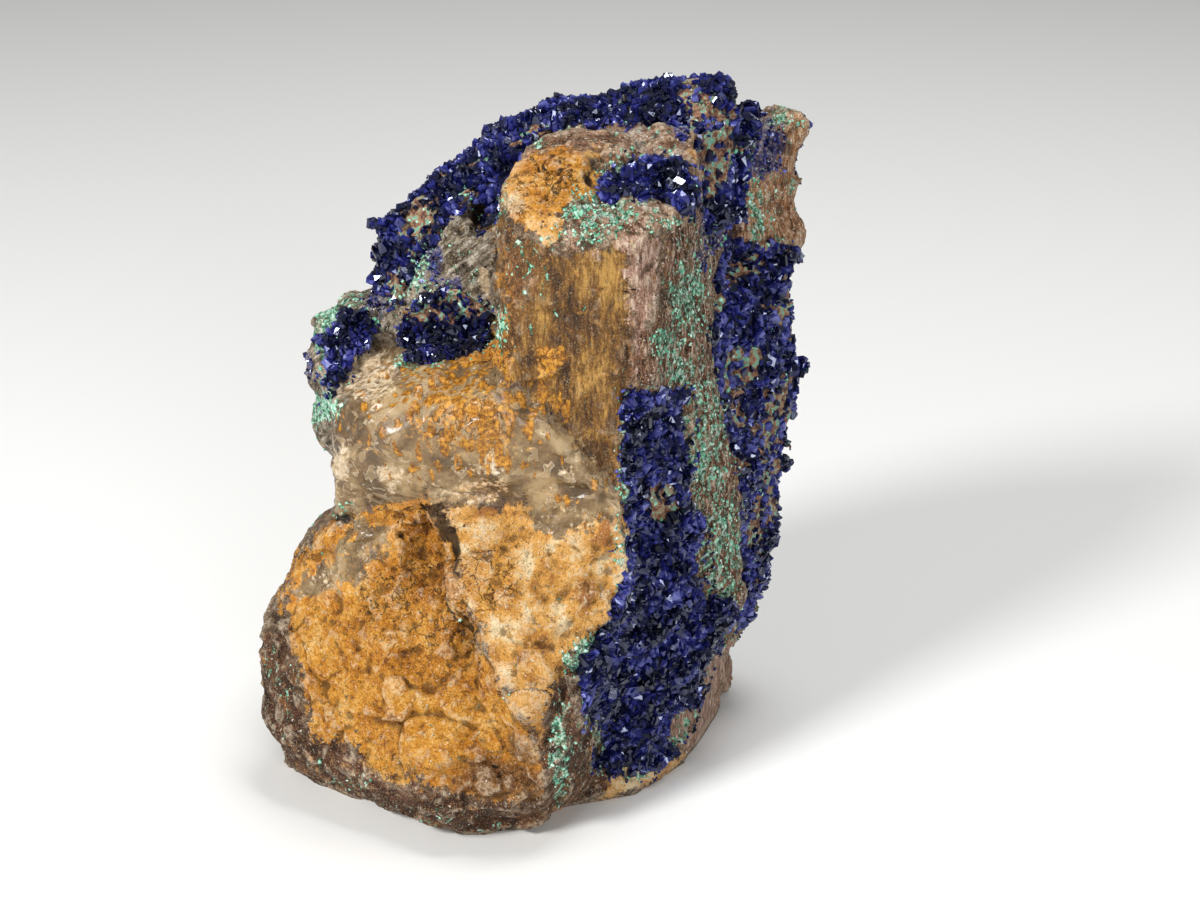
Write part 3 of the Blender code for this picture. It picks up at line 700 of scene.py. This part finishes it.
def grain_shapes():
    """A squashed ball and, twice as often, an angular flake, one unit across."""
    ball = bmesh.new()
    bmesh.ops.create_icosphere(ball, subdivisions=1, radius=0.5)
    squashed = [(1.2 * x, 0.8 * y + 0.1 * x, 0.7 * z) for x, y, z in (vert.co for vert in ball.verts)]
    ball.free()
    flake = [(-0.5, -0.1, 0), (-0.1, -0.45, 0.1), (0.45, -0.2, -0.05), (0.4, 0.3, 0.1), (-0.2, 0.4, 0)]
    flake += [(-0.1, 0.05, 0.3), (0.15, -0.1, 0.25), (0, 0, -0.3)]
    return [hull_shape(corners) for corners in (squashed, flake, flake)]


def spread_on(surface, weight, density, chance):
    """Random places on a surface, density to the square millimetre where the weight is 1, with
    the upright direction and one corner's index at each."""
    points, normals, faces = surface
    weight = weight * (points[:, 2] > FOOT_CLEARANCE)
    a, b, c = points[faces[:, 0]], points[faces[:, 1]], points[faces[:, 2]]
    share = np.linalg.norm(np.cross(b - a, c - a), axis=1) / 2 * weight[faces].mean(1)
    picked = chance.choice(len(faces), int(share.sum() * density), p=share / share.sum())
    u, v = chance.uniform(0, 1, (2, len(picked)))
    flip = u + v > 1
    u, v = np.where(flip, 1 - u, u)[:, None], np.where(flip, 1 - v, v)[:, None]
    places = a[picked] + (b - a)[picked] * u + (c - a)[picked] * v
    upright = normals[faces[picked]].mean(1)
    return places, upright / np.linalg.norm(upright, axis=1)[:, None], faces[picked, 0]


def standing_turns(up, chance):
    """Turning matrices that stand shapes along the given directions, each spun at random."""
    up = up / np.linalg.norm(up, axis=1)[:, None]
    side = np.cross(up, chance.normal(0, 1, (len(up), 3)))
    side /= np.linalg.norm(side, axis=1)[:, None]
    return np.stack([side, np.cross(up, side), up], 2)


def set_shapes(shapes, spots, turns, sizes, chance):
    """Corners, triangles, the spot that each corner belongs to, and how near its shape's tip
    each corner is, for shapes set on spots."""
    kinds = chance.integers(0, len(shapes), len(spots))
    corners, faces, owners, tips, start = [], [], [], [], 0
    for kind, (shape, triangles) in enumerate(shapes):
        chosen = np.flatnonzero(kinds == kind)
        stretch = chance.uniform((0.75, 0.75, 0.95), (1.3, 1.3, 1.05), (len(chosen), 3))
        local = shape[None] * (sizes[chosen, None] * stretch)[:, None]
        placed = np.einsum("nij,nkj->nki", turns[chosen], local) + spots[chosen, None]
        corners.append(placed.reshape(-1, 3))
        offsets = start + np.arange(len(chosen)) * len(shape)
        faces.append((triangles[None] + offsets[:, None, None]).reshape(-1, 3))
        owners.append(np.repeat(chosen, len(shape)))
        tips.append(np.tile(shape[:, 2] + 0.5, len(chosen)))
        start += len(chosen) * len(shape)
    return tuple(np.concatenate(parts) for parts in (corners, faces, owners, tips))


# ---- azurite crusts

# For each crust: crystals to the square millimetre, their length, how much of it is bare, and
# how dusty blue it is.
CRUSTS = {
    "azurite_crown": (1.9, (1.0, 2.7), 0.15, 0.1),
    "azurite_front_band": (2.3, (1.1, 2.7), 0.0, 0.0),
    "azurite_right_flank": (2.0, (0.9, 2.4), 0.36, 0.4),
    "azurite_pocket": (2.2, (1.2, 2.7), 0.0, 0.0),
    "azurite_ledge_patch": (2.6, (0.9, 2.1), 0.0, 0.0),
    "azurite_left_lobe": (2.6, (0.9, 1.9), 0.15, 0.2),
}


def rosettes(points, seed):
    """Offset of each point from the middle of its rosette, in rosette sizes."""
    return cells(points + 0.5 * gradient_noise(points / 2, 7)[:, None], ROSETTE_SIZE, seed)[0]


def settle_bed(points, normals, cad_tree, rock_tree):
    """Sinks a crust's underside into the rock, thins the crust towards its rim and lifts it clear
    of the rock's relief. Gives the places, which of them are outside, and how far from the rim."""
    outward = np.linalg.norm(points - nearest_on(cad_tree, points)[0], axis=1) > OUTSIDE_GAP
    trimmed = spot_amount(to_view(points), TRIMMED_CRUST) + 0.1 * fractal(points, 3, 3, 7)
    outward &= trimmed < TRIM_AMOUNT
    feet, rock_normals = nearest_on(rock_tree, points)
    rise = points - feet
    height = (rise * normals).sum(1)
    rim = KDTree(int((~outward).sum()))
    for i, point in enumerate(points[~outward]):
        rim.insert(point, i)
    rim.balance()
    inset = np.array([rim.find(point)[2] for point in points])
    share = RIM_SHARE + (1 - RIM_SHARE) * smooth_step(inset, 0.3, BED_TAPER)
    lifted = points + normals * (LEAST_BED - height)[:, None]
    outside = np.where((height > LEAST_BED)[:, None], feet + rise * share[:, None], lifted)
    return np.where(outward[:, None], outside, feet - SINK_DEPTH * rock_normals), outward, inset


def bare_share(points, normals, bare, seed):
    """1 where a crust leaves the rock bare, by chance or in the bare spots, and 0 elsewhere."""
    bald = (bare > 0) * smooth_step(fractal(points, 7, 3, seed + 3), 0.42 - bare, 0.58 - bare)
    patches = spot_amount(to_view(points), BARE_CRUST) * facing_view(points, normals)
    return np.maximum(bald, smooth_step(patches + 0.3 * fractal(points, 2.5, 3, seed), 0.45, 0.65))


def build_crust(node, density, lengths, bare, dusty, trees, seed):
    """One crust: a bed with crystals on it. Gives the piece and what malachite settles on."""
    chance = np.random.default_rng(seed)
    name = node.replace("azurite", "crust")
    bed = welded_copy(node, name)
    remesh(bed, BED_VOXEL, BED_SMOOTHING)
    points, normals = mesh_arrays(bed.data)
    points, outward, inset = settle_bed(points, normals, *trees)
    swell = ROSETTE_SWELL * (ROSETTE_RADIUS - np.linalg.norm(rosettes(points, seed), axis=1))
    swell += 0.5 * fractal(points, 6, 2, seed)
    swell *= smooth_step(inset, 0.4, 2.0) * outward
    points = points + normals * (swell - 0.3 * outward)[:, None]
    write_places(bed.data, points)
    points, normals = mesh_arrays(bed.data)
    surface = (points, normals, triangles_of(bed.data))
    bald = bare_share(points, normals, bare, seed)
    weight = outward * (1 - BARE_THINNING * bald)
    spots, upright, near = spread_on(surface, weight, density, chance)
    scatter = chance.normal(0, CRYSTAL_SCATTER, spots.shape)
    turns_up = upright + CRYSTAL_LEAN * rosettes(spots, seed) + scatter
    sizes = chance.triangular(lengths[0], lengths[0] * 1.15, lengths[1], len(spots))
    turns = standing_turns(turns_up, chance)
    feet = spots + upright * CRYSTAL_LIFT
    corners, triangles, owners, tips = set_shapes(crystal_shapes(), feet, turns, sizes, chance)
    tints = chance.uniform(dusty, 1 + dusty, len(spots)) - 0.15
    tints += 0.5 * (1 - smooth_step(inset[near], 0.5, 3.2))
    every_face = np.concatenate([surface[2], triangles + len(points)])
    mesh = mesh_from(name, np.concatenate([points, corners]), every_face)
    store(mesh, "tint", np.concatenate([np.full(len(points), BED_TINT), tints[owners]]))
    store(mesh, "tip", np.concatenate([np.zeros(len(points)), tips]))
    store(mesh, "bald", np.concatenate([bald, np.zeros(len(corners))]))
    bed.data = mesh
    bed.data.shade_flat()
    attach(bed, "root")
    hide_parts(node)
    return bed, (surface, bald * outward)


# ---- fine growths on the rock


def build_grown(name, surfaces, shapes, lengths, lift, lean, tints, seed):
    """One piece of many small shapes: surfaces are (arrays, weight, density) triples. Gives the
    piece, and the corner of the surfaces that lies nearest to each of its own corners."""
    chance = np.random.default_rng(seed)
    grown = [spread_on(*surface, chance) for surface in surfaces]
    spots, upright, near = (np.concatenate(parts) for parts in zip(*grown))
    sizes = chance.triangular(lengths[0], lengths[0] * 1.1, lengths[1], len(spots))
    turns = standing_turns(upright + chance.normal(0, lean, spots.shape), chance)
    corners, faces, owners, tips = set_shapes(shapes, spots + upright * lift, turns, sizes, chance)
    mesh = mesh_from(name, corners, faces)
    store(mesh, "tip", tips)
    store(mesh, "tint", chance.uniform(*tints, len(spots))[owners])
    piece = linked(name, mesh)
    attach(piece, "root")
    return piece, near[owners]


def build_azurite_dust(rock_surface, masks, clear):
    """Fine azurite on the rock: blue film areas, and crystals straying from the crusts' rims."""
    speckle = fractal(rock_surface[0], 2.4, 3, 311)
    film = smooth_step(masks["film"] + 0.14 * speckle, 0.42, 0.6)
    stray = smooth_step(masks["fringe"] + 0.4 * speckle, 0.65, 1.05)
    surfaces = [(rock_surface, np.maximum(film, 0.7 * stray) * clear, 2.4)]
    dust, _ = build_grown(
        "azurite_dust", surfaces, crystal_shapes(),
        lengths=(0.45, 1.3), lift=0.05, lean=0.5, tints=(0.4, 1.8), seed=331,
    )
    return dust


def build_malachite(rock_surface, masks, clear, crust_surfaces):
    """Green grains in clumps on the rock, and thinly on the crusts' beds."""
    speckle = fractal(rock_surface[0], 1.3, 3, 317, 0.6)
    amount = np.maximum(masks["malachite"], 0.5 * masks["fringe"])
    clumps = 0.55 * speckle * smooth_step(amount, 0.32, 0.5)
    surfaces = [(rock_surface, smooth_step(amount + clumps, 0.5, 0.64) * clear, 2.4)]
    surfaces += [(surface, 0.06 + 0.5 * bald, 0.8) for surface, bald in crust_surfaces]
    grains, _ = build_grown(
        "malachite_grains", surfaces, grain_shapes(),
        lengths=(0.25, 0.95), lift=-0.07, lean=0.5, tints=(0.0, 1.0), seed=337,
    )
    grains.data.shade_smooth()
    return grains


def build_limonite_grains(rock_surface, masks, clear):
    """Earthy crumbs on the limonite, painted with the same masks as the rock below them."""
    speckle = fractal(rock_surface[0], 1.8, 3, 347, 0.6)
    earthy = masks["ochre"] + 0.9 * masks["peach"] + 0.5 * masks["dark"] + 0.4 * masks["strip"]
    weight = smooth_step(earthy * 0.5 + 0.35 * speckle, 0.35, 0.75) * clear
    crumbs, near = build_grown(
        "limonite_grains", [(rock_surface, weight, 1.05)], grain_shapes(),
        lengths=(0.3, 1.0), lift=-0.02, lean=0.6, tints=(0.0, 1.0), seed=349,
    )
    for name, values in masks.items():
        store(crumbs.data, name, values[near])
    return crumbs


# ---- materials

# The noise that each kind of stone follows, and its tones along it, from dark to light.
TONE_PLACES = (0.39, 0.46, 0.53, 0.61)
HOST_TONES = "2a1c14 523c2d 75604e a18d79"
STONE_TONES = {
    "golden": ("flow", "1c0e03 472a0a 704b18 b08642"),
    "mauve": ("streaks", "5a3e31 8c6858 b08d7b dfcabb"),
    "ochre": ("blotches", "7a4409 c07a17 d99a37 eec27c"),
    "peach": ("clouds", "a86c34 d0933f e6ad5e f5dcae"),
    "quartz": ("clouds", "56432b 6e5638 836b49 a08761"),
    "dark": ("blotches", "1a0c07 3c2014 5c3826 8f684a"),
    "strip": ("streaks", "150904 4a281a 835840 e0c9b2"),
    "ridge": ("streaks", "482612 96623f bc8c66 e8d0b6"),
    "rim": ("blotches", "2c190e 7a523a b4937c f4eadf"),
    "grey": ("bands", "1a130d 51473a 857a6b c9c2b4"),
}

# Stains over the stone, a later one over an earlier one: the noise that breaks each up, how much
# it needs to show, its strongest share, its border's width, and its tones along their noise.
STAINS = {
    "warm": ("mottle", 0.92, 0.85, 0.16, "blotches", (0.38, 0.5, 0.62), "9a5a17 cb8527 e3ad52"),
    "rust": ("mottle", 0.95, 0.85, 0.16, "fine", (0.36, 0.5, 0.64), "3c2110 6c4223 94653a"),
    "pale": ("mottle", 0.94, 0.75, 0.14, "fine", (0.36, 0.5, 0.64), "a98c66 cdb48f ecdfc8"),
    "drops": ("beads", 0.7, 0.95, 0.1, "fine", (0.36, 0.5, 0.64), "643a08 a2680f cc922c"),
    "film": ("mottle", 0.94, 0.9, 0.1, "fine", (0.36, 0.5, 0.64), "1d1d4a 3c3f7c 74789f"),
}

# Where the chips in the quartz begin, along their noise.
CHIP_EDGE = 0.575


def colour(hex_code):
    """Linear colour from a screen colour such as d09a50."""
    parts = [int(hex_code[i : i + 2], 16) / 255 for i in (0, 2, 4)]
    linear = [p / 12.92 if p <= 0.04045 else ((p + 0.055) / 1.055) ** 2.4 for p in parts]
    return (*linear, 1)


class Nodes:
    """Short names for the shader nodes that the materials here use."""

    def __init__(self, name):
        self.material = bpy.data.materials.new(name)
        self.material.use_nodes = True
        self.tree = self.material.node_tree
        self.place = self.add("TexCoord").outputs["Object"]
        self.base = None

    def give(self, value, socket):
        if isinstance(value, bpy.types.NodeSocket):
            self.tree.links.new(value, socket)
        else:
            socket.default_value = value

    def fill(self, node, inputs):
        """Gives a node its inputs by name, with underscores in place of spaces."""
        for name, value in inputs.items():
            self.give(value, node.inputs[name.replace("_", " ")])

    def add(self, kind, **inputs):
        node = self.tree.nodes.new("ShaderNode" + kind)
        self.fill(node, inputs)
        return node

    def shaded(self, **inputs):
        """The finished material, once its shader has these inputs."""
        self.fill(self.tree.nodes["Principled BSDF"], inputs)
        return self.material

    def attribute(self, name):
        node = self.add("Attribute")
        node.attribute_name = name
        return node.outputs["Fac"]

    def stretched(self, stretch, turn=0.0):
        """Places squeezed by these shares along each axis, which draws noise out, and turned
        about the depth axis."""
        scale = [1 / part for part in stretch]
        node = self.add("Mapping", Vector=self.place, Rotation=(0, turn, 0), Scale=scale)
        node.vector_type = "TEXTURE"
        return node.outputs["Vector"]

    def texture(self, kind, size, place=None, **inputs):
        """A texture whose features are about size millimetres across."""
        return self.add("Tex" + kind, Vector=place or self.place, Scale=1 / (size * MM), **inputs)

    def noise(self, size, detail=4, roughness=0.55, place=None, distortion=0.0):
        inputs = {"Detail": detail, "Roughness": roughness, "Distortion": distortion}
        return self.texture("Noise", size, place, **inputs).outputs["Fac"]

    def warped(self, size, reach):
        """Places pushed about by up to reach millimetres, so that what is drawn there winds."""
        push = self.texture("Noise", size).outputs["Color"]
        push = self.work("VectorMath", "SUBTRACT", push, (0.5, 0.5, 0.5))
        return self.work("VectorMath", "MULTIPLY_ADD", push, (reach * MM * 4,) * 3, self.place)

    def cells(self, size, place=None, feature="F1"):
        """Distance to the nearest of scattered points, or to the edge between their cells."""
        node = self.texture("Voronoi", size, place)
        node.feature = feature
        return node.outputs["Distance"]

    def work(self, kind, operation, *values):
        """Result of a Math or VectorMath node."""
        node = self.add(kind)
        node.operation = operation
        for value, socket in zip(values, node.inputs):
            self.give(value, socket)
        return node.outputs[0]

    def less(self, a, b):
        return self.work("Math", "SUBTRACT", a, b)

    def times(self, product, *others):
        for other in others:
            product = self.work("Math", "MULTIPLY", product, other)
        return product

    def most(self, largest, *others):
        for other in others:
            largest = self.work("Math", "MAXIMUM", largest, other)
        return largest

    def blend(self, *parts):
        """Sum of (value, weight) pairs."""
        total = 0.0
        for value, weight in parts:
            total = self.work("Math", "ADD", self.times(value, weight), total)
        return total

    def step(self, value, low, high, start=0.0, end=1.0):
        """From start to end, smoothly, as the value goes from low to high."""
        ends = {"From_Min": low, "From_Max": high, "To_Min": start, "To_Max": end}
        node = self.add("MapRange")
        node.interpolation_type = "SMOOTHSTEP"
        self.fill(node, {"Value": value, **ends})
        return node.outputs["Result"]

    def mix(self, share, first, second):
        """The first colour or screen colour, turned into the second by the share."""
        node = self.add("Mix")
        node.data_type = "RGBA"
        for value, index in ((share, 0), (first, 6), (second, 7)):
            self.give(colour(value) if isinstance(value, str) else value, node.inputs[index])
        return node.outputs[2]

    def ramp(self, value, places, tones):
        """Screen colours at places along a value."""
        node = self.add("ValToRGB", Fac=value)
        ends = node.color_ramp.elements
        first, *between, last = zip(places, map(colour, tones.split()))
        for end, (place, tone) in zip(ends, (first, last)):
            end.position, end.color = place, tone
        for place, tone in between:
            ends.new(place).color = tone
        return node.outputs["Color"]

    def bump(self, height, distance, strength=1.0, below=None):
        node = self.add("Bump", Distance=distance * MM, Strength=strength, Height=height)
        if below is not None:
            self.give(below, node.inputs["Normal"])
        return node.outputs["Normal"]

    def lay(self, tone, *shares):
        """Lays a tone over the base colour, by the product of the shares."""
        self.base = self.mix(self.times(*shares), self.base, tone)

    def stain(self, tone, amount, breakup, need, peak=1.0, width=0.1):
        """Lays a tone over the base colour where amount and breakup together pass need."""
        share = self.step(self.work("Math", "ADD", amount, breakup), need, need + width, 0.0, peak)
        self.lay(tone, share)
        return share


def stone_noises(n):
    """The noises that the kinds of stone and their stains follow."""
    fine = n.noise(0.7, 4, 0.65)
    middle = n.noise(2.2, 5, 0.65)
    streaks = n.noise(0.4, 4, 0.65, n.stretched((1, 1, 0.2)))
    upright = n.noise(1.1, 5, 0.7, n.stretched((1, 1, 0.12)))
    flow = n.noise(4.5, 6, 0.7, n.stretched((1, 1, 0.4)), 0.25)
    leaning = n.noise(0.8, 4, 0.6, n.stretched((1, 1, 0.2), 0.9))
    dripping = n.noise(1.2, 3, 0.6, n.stretched((1, 1, 0.35)))
    return {
        "fine": fine,
        "middle": middle,
        "grain": n.noise(0.26, 3, 0.7),
        "fine_streaks": streaks,
        "blotches": n.blend((n.noise(6.5, 4), 0.3), (middle, 0.4), (fine, 0.3)),
        "streaks": n.blend((upright, 0.45), (streaks, 0.55)),
        "clouds": n.blend((n.noise(5.5, 3, 0.5, None, 0.4), 0.8), (fine, 0.2)),
        "flow": n.blend((flow, 0.7), (streaks, 0.3)),
        "bands": n.blend((leaning, 0.6), (middle, 0.4)),
        "mottle": n.blend((middle, 0.6), (fine, 0.4)),
        "beads": n.blend((n.cells(1.7, n.stretched((1, 1, 0.33))), -0.8), (dripping, 1.2)),
    }


def lay_stones(n, noises):
    """Lays the kinds of stone over each other, with ragged borders."""
    ragged = n.times(n.noise(2.4, 8, 0.72), 3.2)
    n.base = n.ramp(noises["blotches"], TONE_PLACES, HOST_TONES)
    for kind, (noise, tones) in STONE_TONES.items():
        n.stain(n.ramp(noises[noise], TONE_PLACES, tones), n.attribute(kind), ragged, 2.05)


def rock_material():
    n = Nodes("limonite_and_quartz")
    noises = stone_noises(n)
    fine, middle, grain = noises["fine"], noises["middle"], noises["grain"]
    lay_stones(n, noises)

    quartz = n.attribute("quartz")
    chips = n.noise(4.0, 2, 0.45, None, 1.6)
    n.lay("b9a078", quartz, n.step(chips, CHIP_EDGE, CHIP_EDGE + 0.015, 0.0, 0.4))
    # Pale lines along the chips' edges are painted highlights.
    off_edge = n.work("Math", "ABSOLUTE", n.less(chips, CHIP_EDGE))
    n.lay("f0e4cf", quartz, n.step(off_edge, 0.008, 0.002, 0.0, 0.5))

    shares = {}
    for name, (breakup, need, peak, width, noise, places, tones) in STAINS.items():
        tone = n.ramp(noises[noise], places, tones)
        shares[name] = n.stain(tone, n.attribute(name), noises[breakup], need, peak, width)

    speckle = n.noise(0.95, 3, 0.62, n.stretched((1, 1, 0.55)), 0.6)
    green_amount = n.most(n.attribute("malachite"), n.times(n.attribute("fringe"), 0.5))
    green_tone = n.ramp(fine, (0.4, 0.47, 0.53, 0.6), "16402f 439473 8ed0b1 def5ea")
    green = n.stain(green_tone, green_amount, speckle, 1.02, 0.96, 0.04)

    # Grain, and painted shade in pits and fissures, which polished stone shows less.
    polish = n.most(quartz, n.times(n.attribute("golden"), 0.6))
    dry = n.less(1.0, n.times(polish, 0.85))
    n.lay("44250a", n.step(grain, 0.47, 0.34, 0.0, 0.55), dry)
    n.lay("f0d6a2", n.step(grain, 0.54, 0.66, 0.0, 0.4), dry)
    n.lay("2a1a10", n.step(n.noise(0.6, 3, 0.6), 0.4, 0.33, 0.0, 0.55), dry)
    fissures = n.step(n.cells(2.6, n.warped(1.6, 1.0), "DISTANCE_TO_EDGE"), 0.05, 0.015)
    fissures = n.times(fissures, n.step(middle, 0.46, 0.52), n.step(n.attribute("warm"), 0.42, 0.56))
    n.lay("2e1a0c", fissures, 0.75)

    lined = n.most(n.attribute("strip"), n.most(n.attribute("ridge"), n.attribute("rim")))
    smooth = n.most(quartz, n.attribute("golden"))
    # Painted glints: white specks laid into the colour, more on lined stone and fewer on smooth stone.
    sparkling = n.blend((n.noise(0.45, 2, 0.5), 1.0), (lined, 0.06), (smooth, -0.1))
    glint = n.step(sparkling, 0.68, 0.72, 0.0, 0.75)
    n.lay("f2eadd", glint)

    # Painted highlight on crests, painted shade in crevices, and darker painted shade still in the cracks and
    # hollows.
    curvature = n.attribute("curvature")
    n.lay("e8d6ba", n.step(curvature, 0.35, 1.0, 0.0, 0.4), n.step(fine, 0.42, 0.6, 0.2, 1.0), dry)
    n.lay("2c1a0d", n.step(curvature, -0.2, -1.0, 0.0, 0.6), n.most(dry, 0.35))
    depth = n.most(n.attribute("cracks"), n.attribute("shade"))
    n.lay("160d07", n.step(depth, 0.2, 0.8, 0.0, 0.88))

    rough = n.blend((n.step(fine, 0.35, 0.65, 0.66, 0.9), 1.0), (polish, -0.42), (glint, -0.5))
    relief = n.bump(fine, 0.6, dry)
    relief = n.bump(chips, 0.16, quartz, relief)
    relief = n.bump(grain, 0.28, dry, relief)
    relief = n.bump(fissures, -0.3, 1.0, relief)
    relief = n.bump(noises["fine_streaks"], 0.7, lined, relief)
    relief = n.bump(n.most(green, shares["drops"]), 0.14, 1.0, relief)
    return n.shaded(
        Base_Color=n.base,
        Roughness=n.most(rough, 0.16),
        Coat_Weight=n.times(quartz, 0.25),
        Coat_Roughness=0.14,
        Specular_IOR_Level=0.3,
        Normal=relief,
    )


def azurite_material():
    n = Nodes("azurite_crystals")
    fine = n.noise(0.5, 3, 0.6)
    patchy = n.step(n.noise(4.5, 3, 0.6), 0.34, 0.66)
    # Lighter towards the crystals' tips and darker at their bases: painted glow at the tips and painted shade
    # at the bases.
    tone = n.blend((n.attribute("tint"), 0.26), (n.attribute("tip"), 0.3), (patchy, 0.44))
    crystal = n.ramp(tone, (0.1, 0.42, 0.66, 0.84, 1.0), "020309 06081b 10133f 22266f 5c60a4")
    bed = n.ramp(fine, (0.36, 0.52, 0.66), "04050b 0d0e26 1c2140")
    grown = n.step(n.attribute("tint"), -0.6, -0.2)
    host = n.ramp(n.noise(1.3, 5, 0.7), (0.4, 0.48, 0.54, 0.58), "3c2210 8f6140 b58a62 7fb99e")
    bald = n.step(n.attribute("bald"), 0.3, 0.6, 0.0, 0.95)
    bare = n.less(1.0, grown)
    relief = n.bump(n.noise(0.9, 4, 0.7), 0.9, bare)
    return n.shaded(
        Base_Color=n.mix(bald, n.mix(grown, bed, crystal), host),
        Roughness=n.blend((n.step(fine, 0.35, 0.7, 0.06, 0.26), 1.0), (bare, 0.6)),
        IOR=1.68,
        Specular_Tint=(0.72, 0.78, 1.0, 1),
        Normal=n.bump(fine, 0.05, 0.4, relief),
    )


def malachite_material():
    n = Nodes("malachite")
    tone = n.blend((n.attribute("tint"), 0.5), (n.noise(0.4, 3, 0.6), 0.6))
    return n.shaded(
        Base_Color=n.ramp(tone, (0.2, 0.42, 0.66, 0.9), "1f5f49 5fb08d a0dabf e8f8f0"),
        Roughness=n.step(n.noise(0.3, 2), 0.35, 0.65, 0.45, 0.75),
        Normal=n.bump(n.noise(0.2, 2), 0.08, 0.7),
    )


def floor_material():
    return Nodes("pale_floor").shaded(Base_Color=(0.84, 0.84, 0.83, 1), Roughness=0.9)


# ---- studio

# Soft lights turned to the camera's target: place, size, power and tone.
LIGHTS = {
    "key": ((-0.55, -0.52, 0.6), 0.2, 7.7, (1, 0.99, 0.97)),
    "top": ((0.15, 0.1, 0.85), 0.34, 3.7, (1, 1, 1)),
    "front": ((0.25, -0.8, 0.3), 0.36, 3.0, (0.98, 0.99, 1)),
}
WORLD_STRENGTH = 0.22
FLOOR_SIZE = 3


def turn_to(thing, direction):
    thing.rotation_mode = "QUATERNION"
    thing.rotation_quaternion = direction.to_track_quat("-Z", "Y")


def build_floor():
    bm = bmesh.new()
    bmesh.ops.create_grid(bm, x_segments=1, y_segments=1, size=FLOOR_SIZE)
    mesh = bpy.data.meshes.new("floor")
    bm.to_mesh(mesh)
    bm.free()
    floor = linked("floor", mesh)
    floor.data.materials.append(floor_material())


def build_lights():
    for name, (place, size, power, tone) in LIGHTS.items():
        lamp = bpy.data.lights.new(name, "AREA")
        lamp.shape = "DISK"
        lamp.size = size
        lamp.energy = power
        lamp.color = tone
        light = linked(name, lamp)
        light.location = place
        turn_to(light, CAMERA_TARGET - Vector(place))
    world = bpy.data.worlds.new("studio")
    world.use_nodes = True
    background = world.node_tree.nodes["Background"]
    background.inputs["Color"].default_value = (1, 1, 1, 1)
    background.inputs["Strength"].default_value = WORLD_STRENGTH
    bpy.context.scene.world = world
    bpy.context.scene.view_settings.view_transform = "Standard"


def build_camera():
    lens = bpy.data.cameras.new("camera")
    lens.lens = CAMERA_LENS
    lens.sensor_width = CAMERA_SENSOR
    lens.clip_start = 0.01
    camera = linked("camera", lens)
    camera.location = CAMERA_PLACE
    turn_to(camera, LOOK)
    bpy.context.scene.camera = camera


def main():
    build_camera()
    build_floor()
    build_lights()
    # A hidden object has no tree, so the CAD rock's comes before the rock that replaces it.
    cad_tree = tree_of(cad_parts["matrix_rock"])
    rock = build_rock()
    points, normals = mesh_arrays(rock.data)
    rock_surface = (points, normals, triangles_of(rock.data))
    masks, clear = rock_masks(points, normals)
    # Crests and crevices, which the material lights with painted highlight and darkens with painted shade.
    masks["curvature"] = crest_curvature(rock.data, points, normals)
    for name, values in masks.items():
        store(rock.data, name, values)
    trees = (cad_tree, tree_of(rock))
    crusts, crust_surfaces = [], []
    for number, (node, growth) in enumerate(CRUSTS.items()):
        crust, surface = build_crust(node, *growth, trees, CRUST_SEED + number)
        crusts.append(crust)
        crust_surfaces.append(surface)
    crusts.append(build_azurite_dust(rock_surface, masks, clear))
    crumbs = build_limonite_grains(rock_surface, masks, clear)
    malachite = build_malachite(rock_surface, masks, clear, crust_surfaces)
    stone, azurite = rock_material(), azurite_material()
    paints = [(rock, stone), (crumbs, stone), (malachite, malachite_material())]
    for piece, paint in paints + [(crust, azurite) for crust in crusts]:
        piece.data.materials.append(paint)


main()
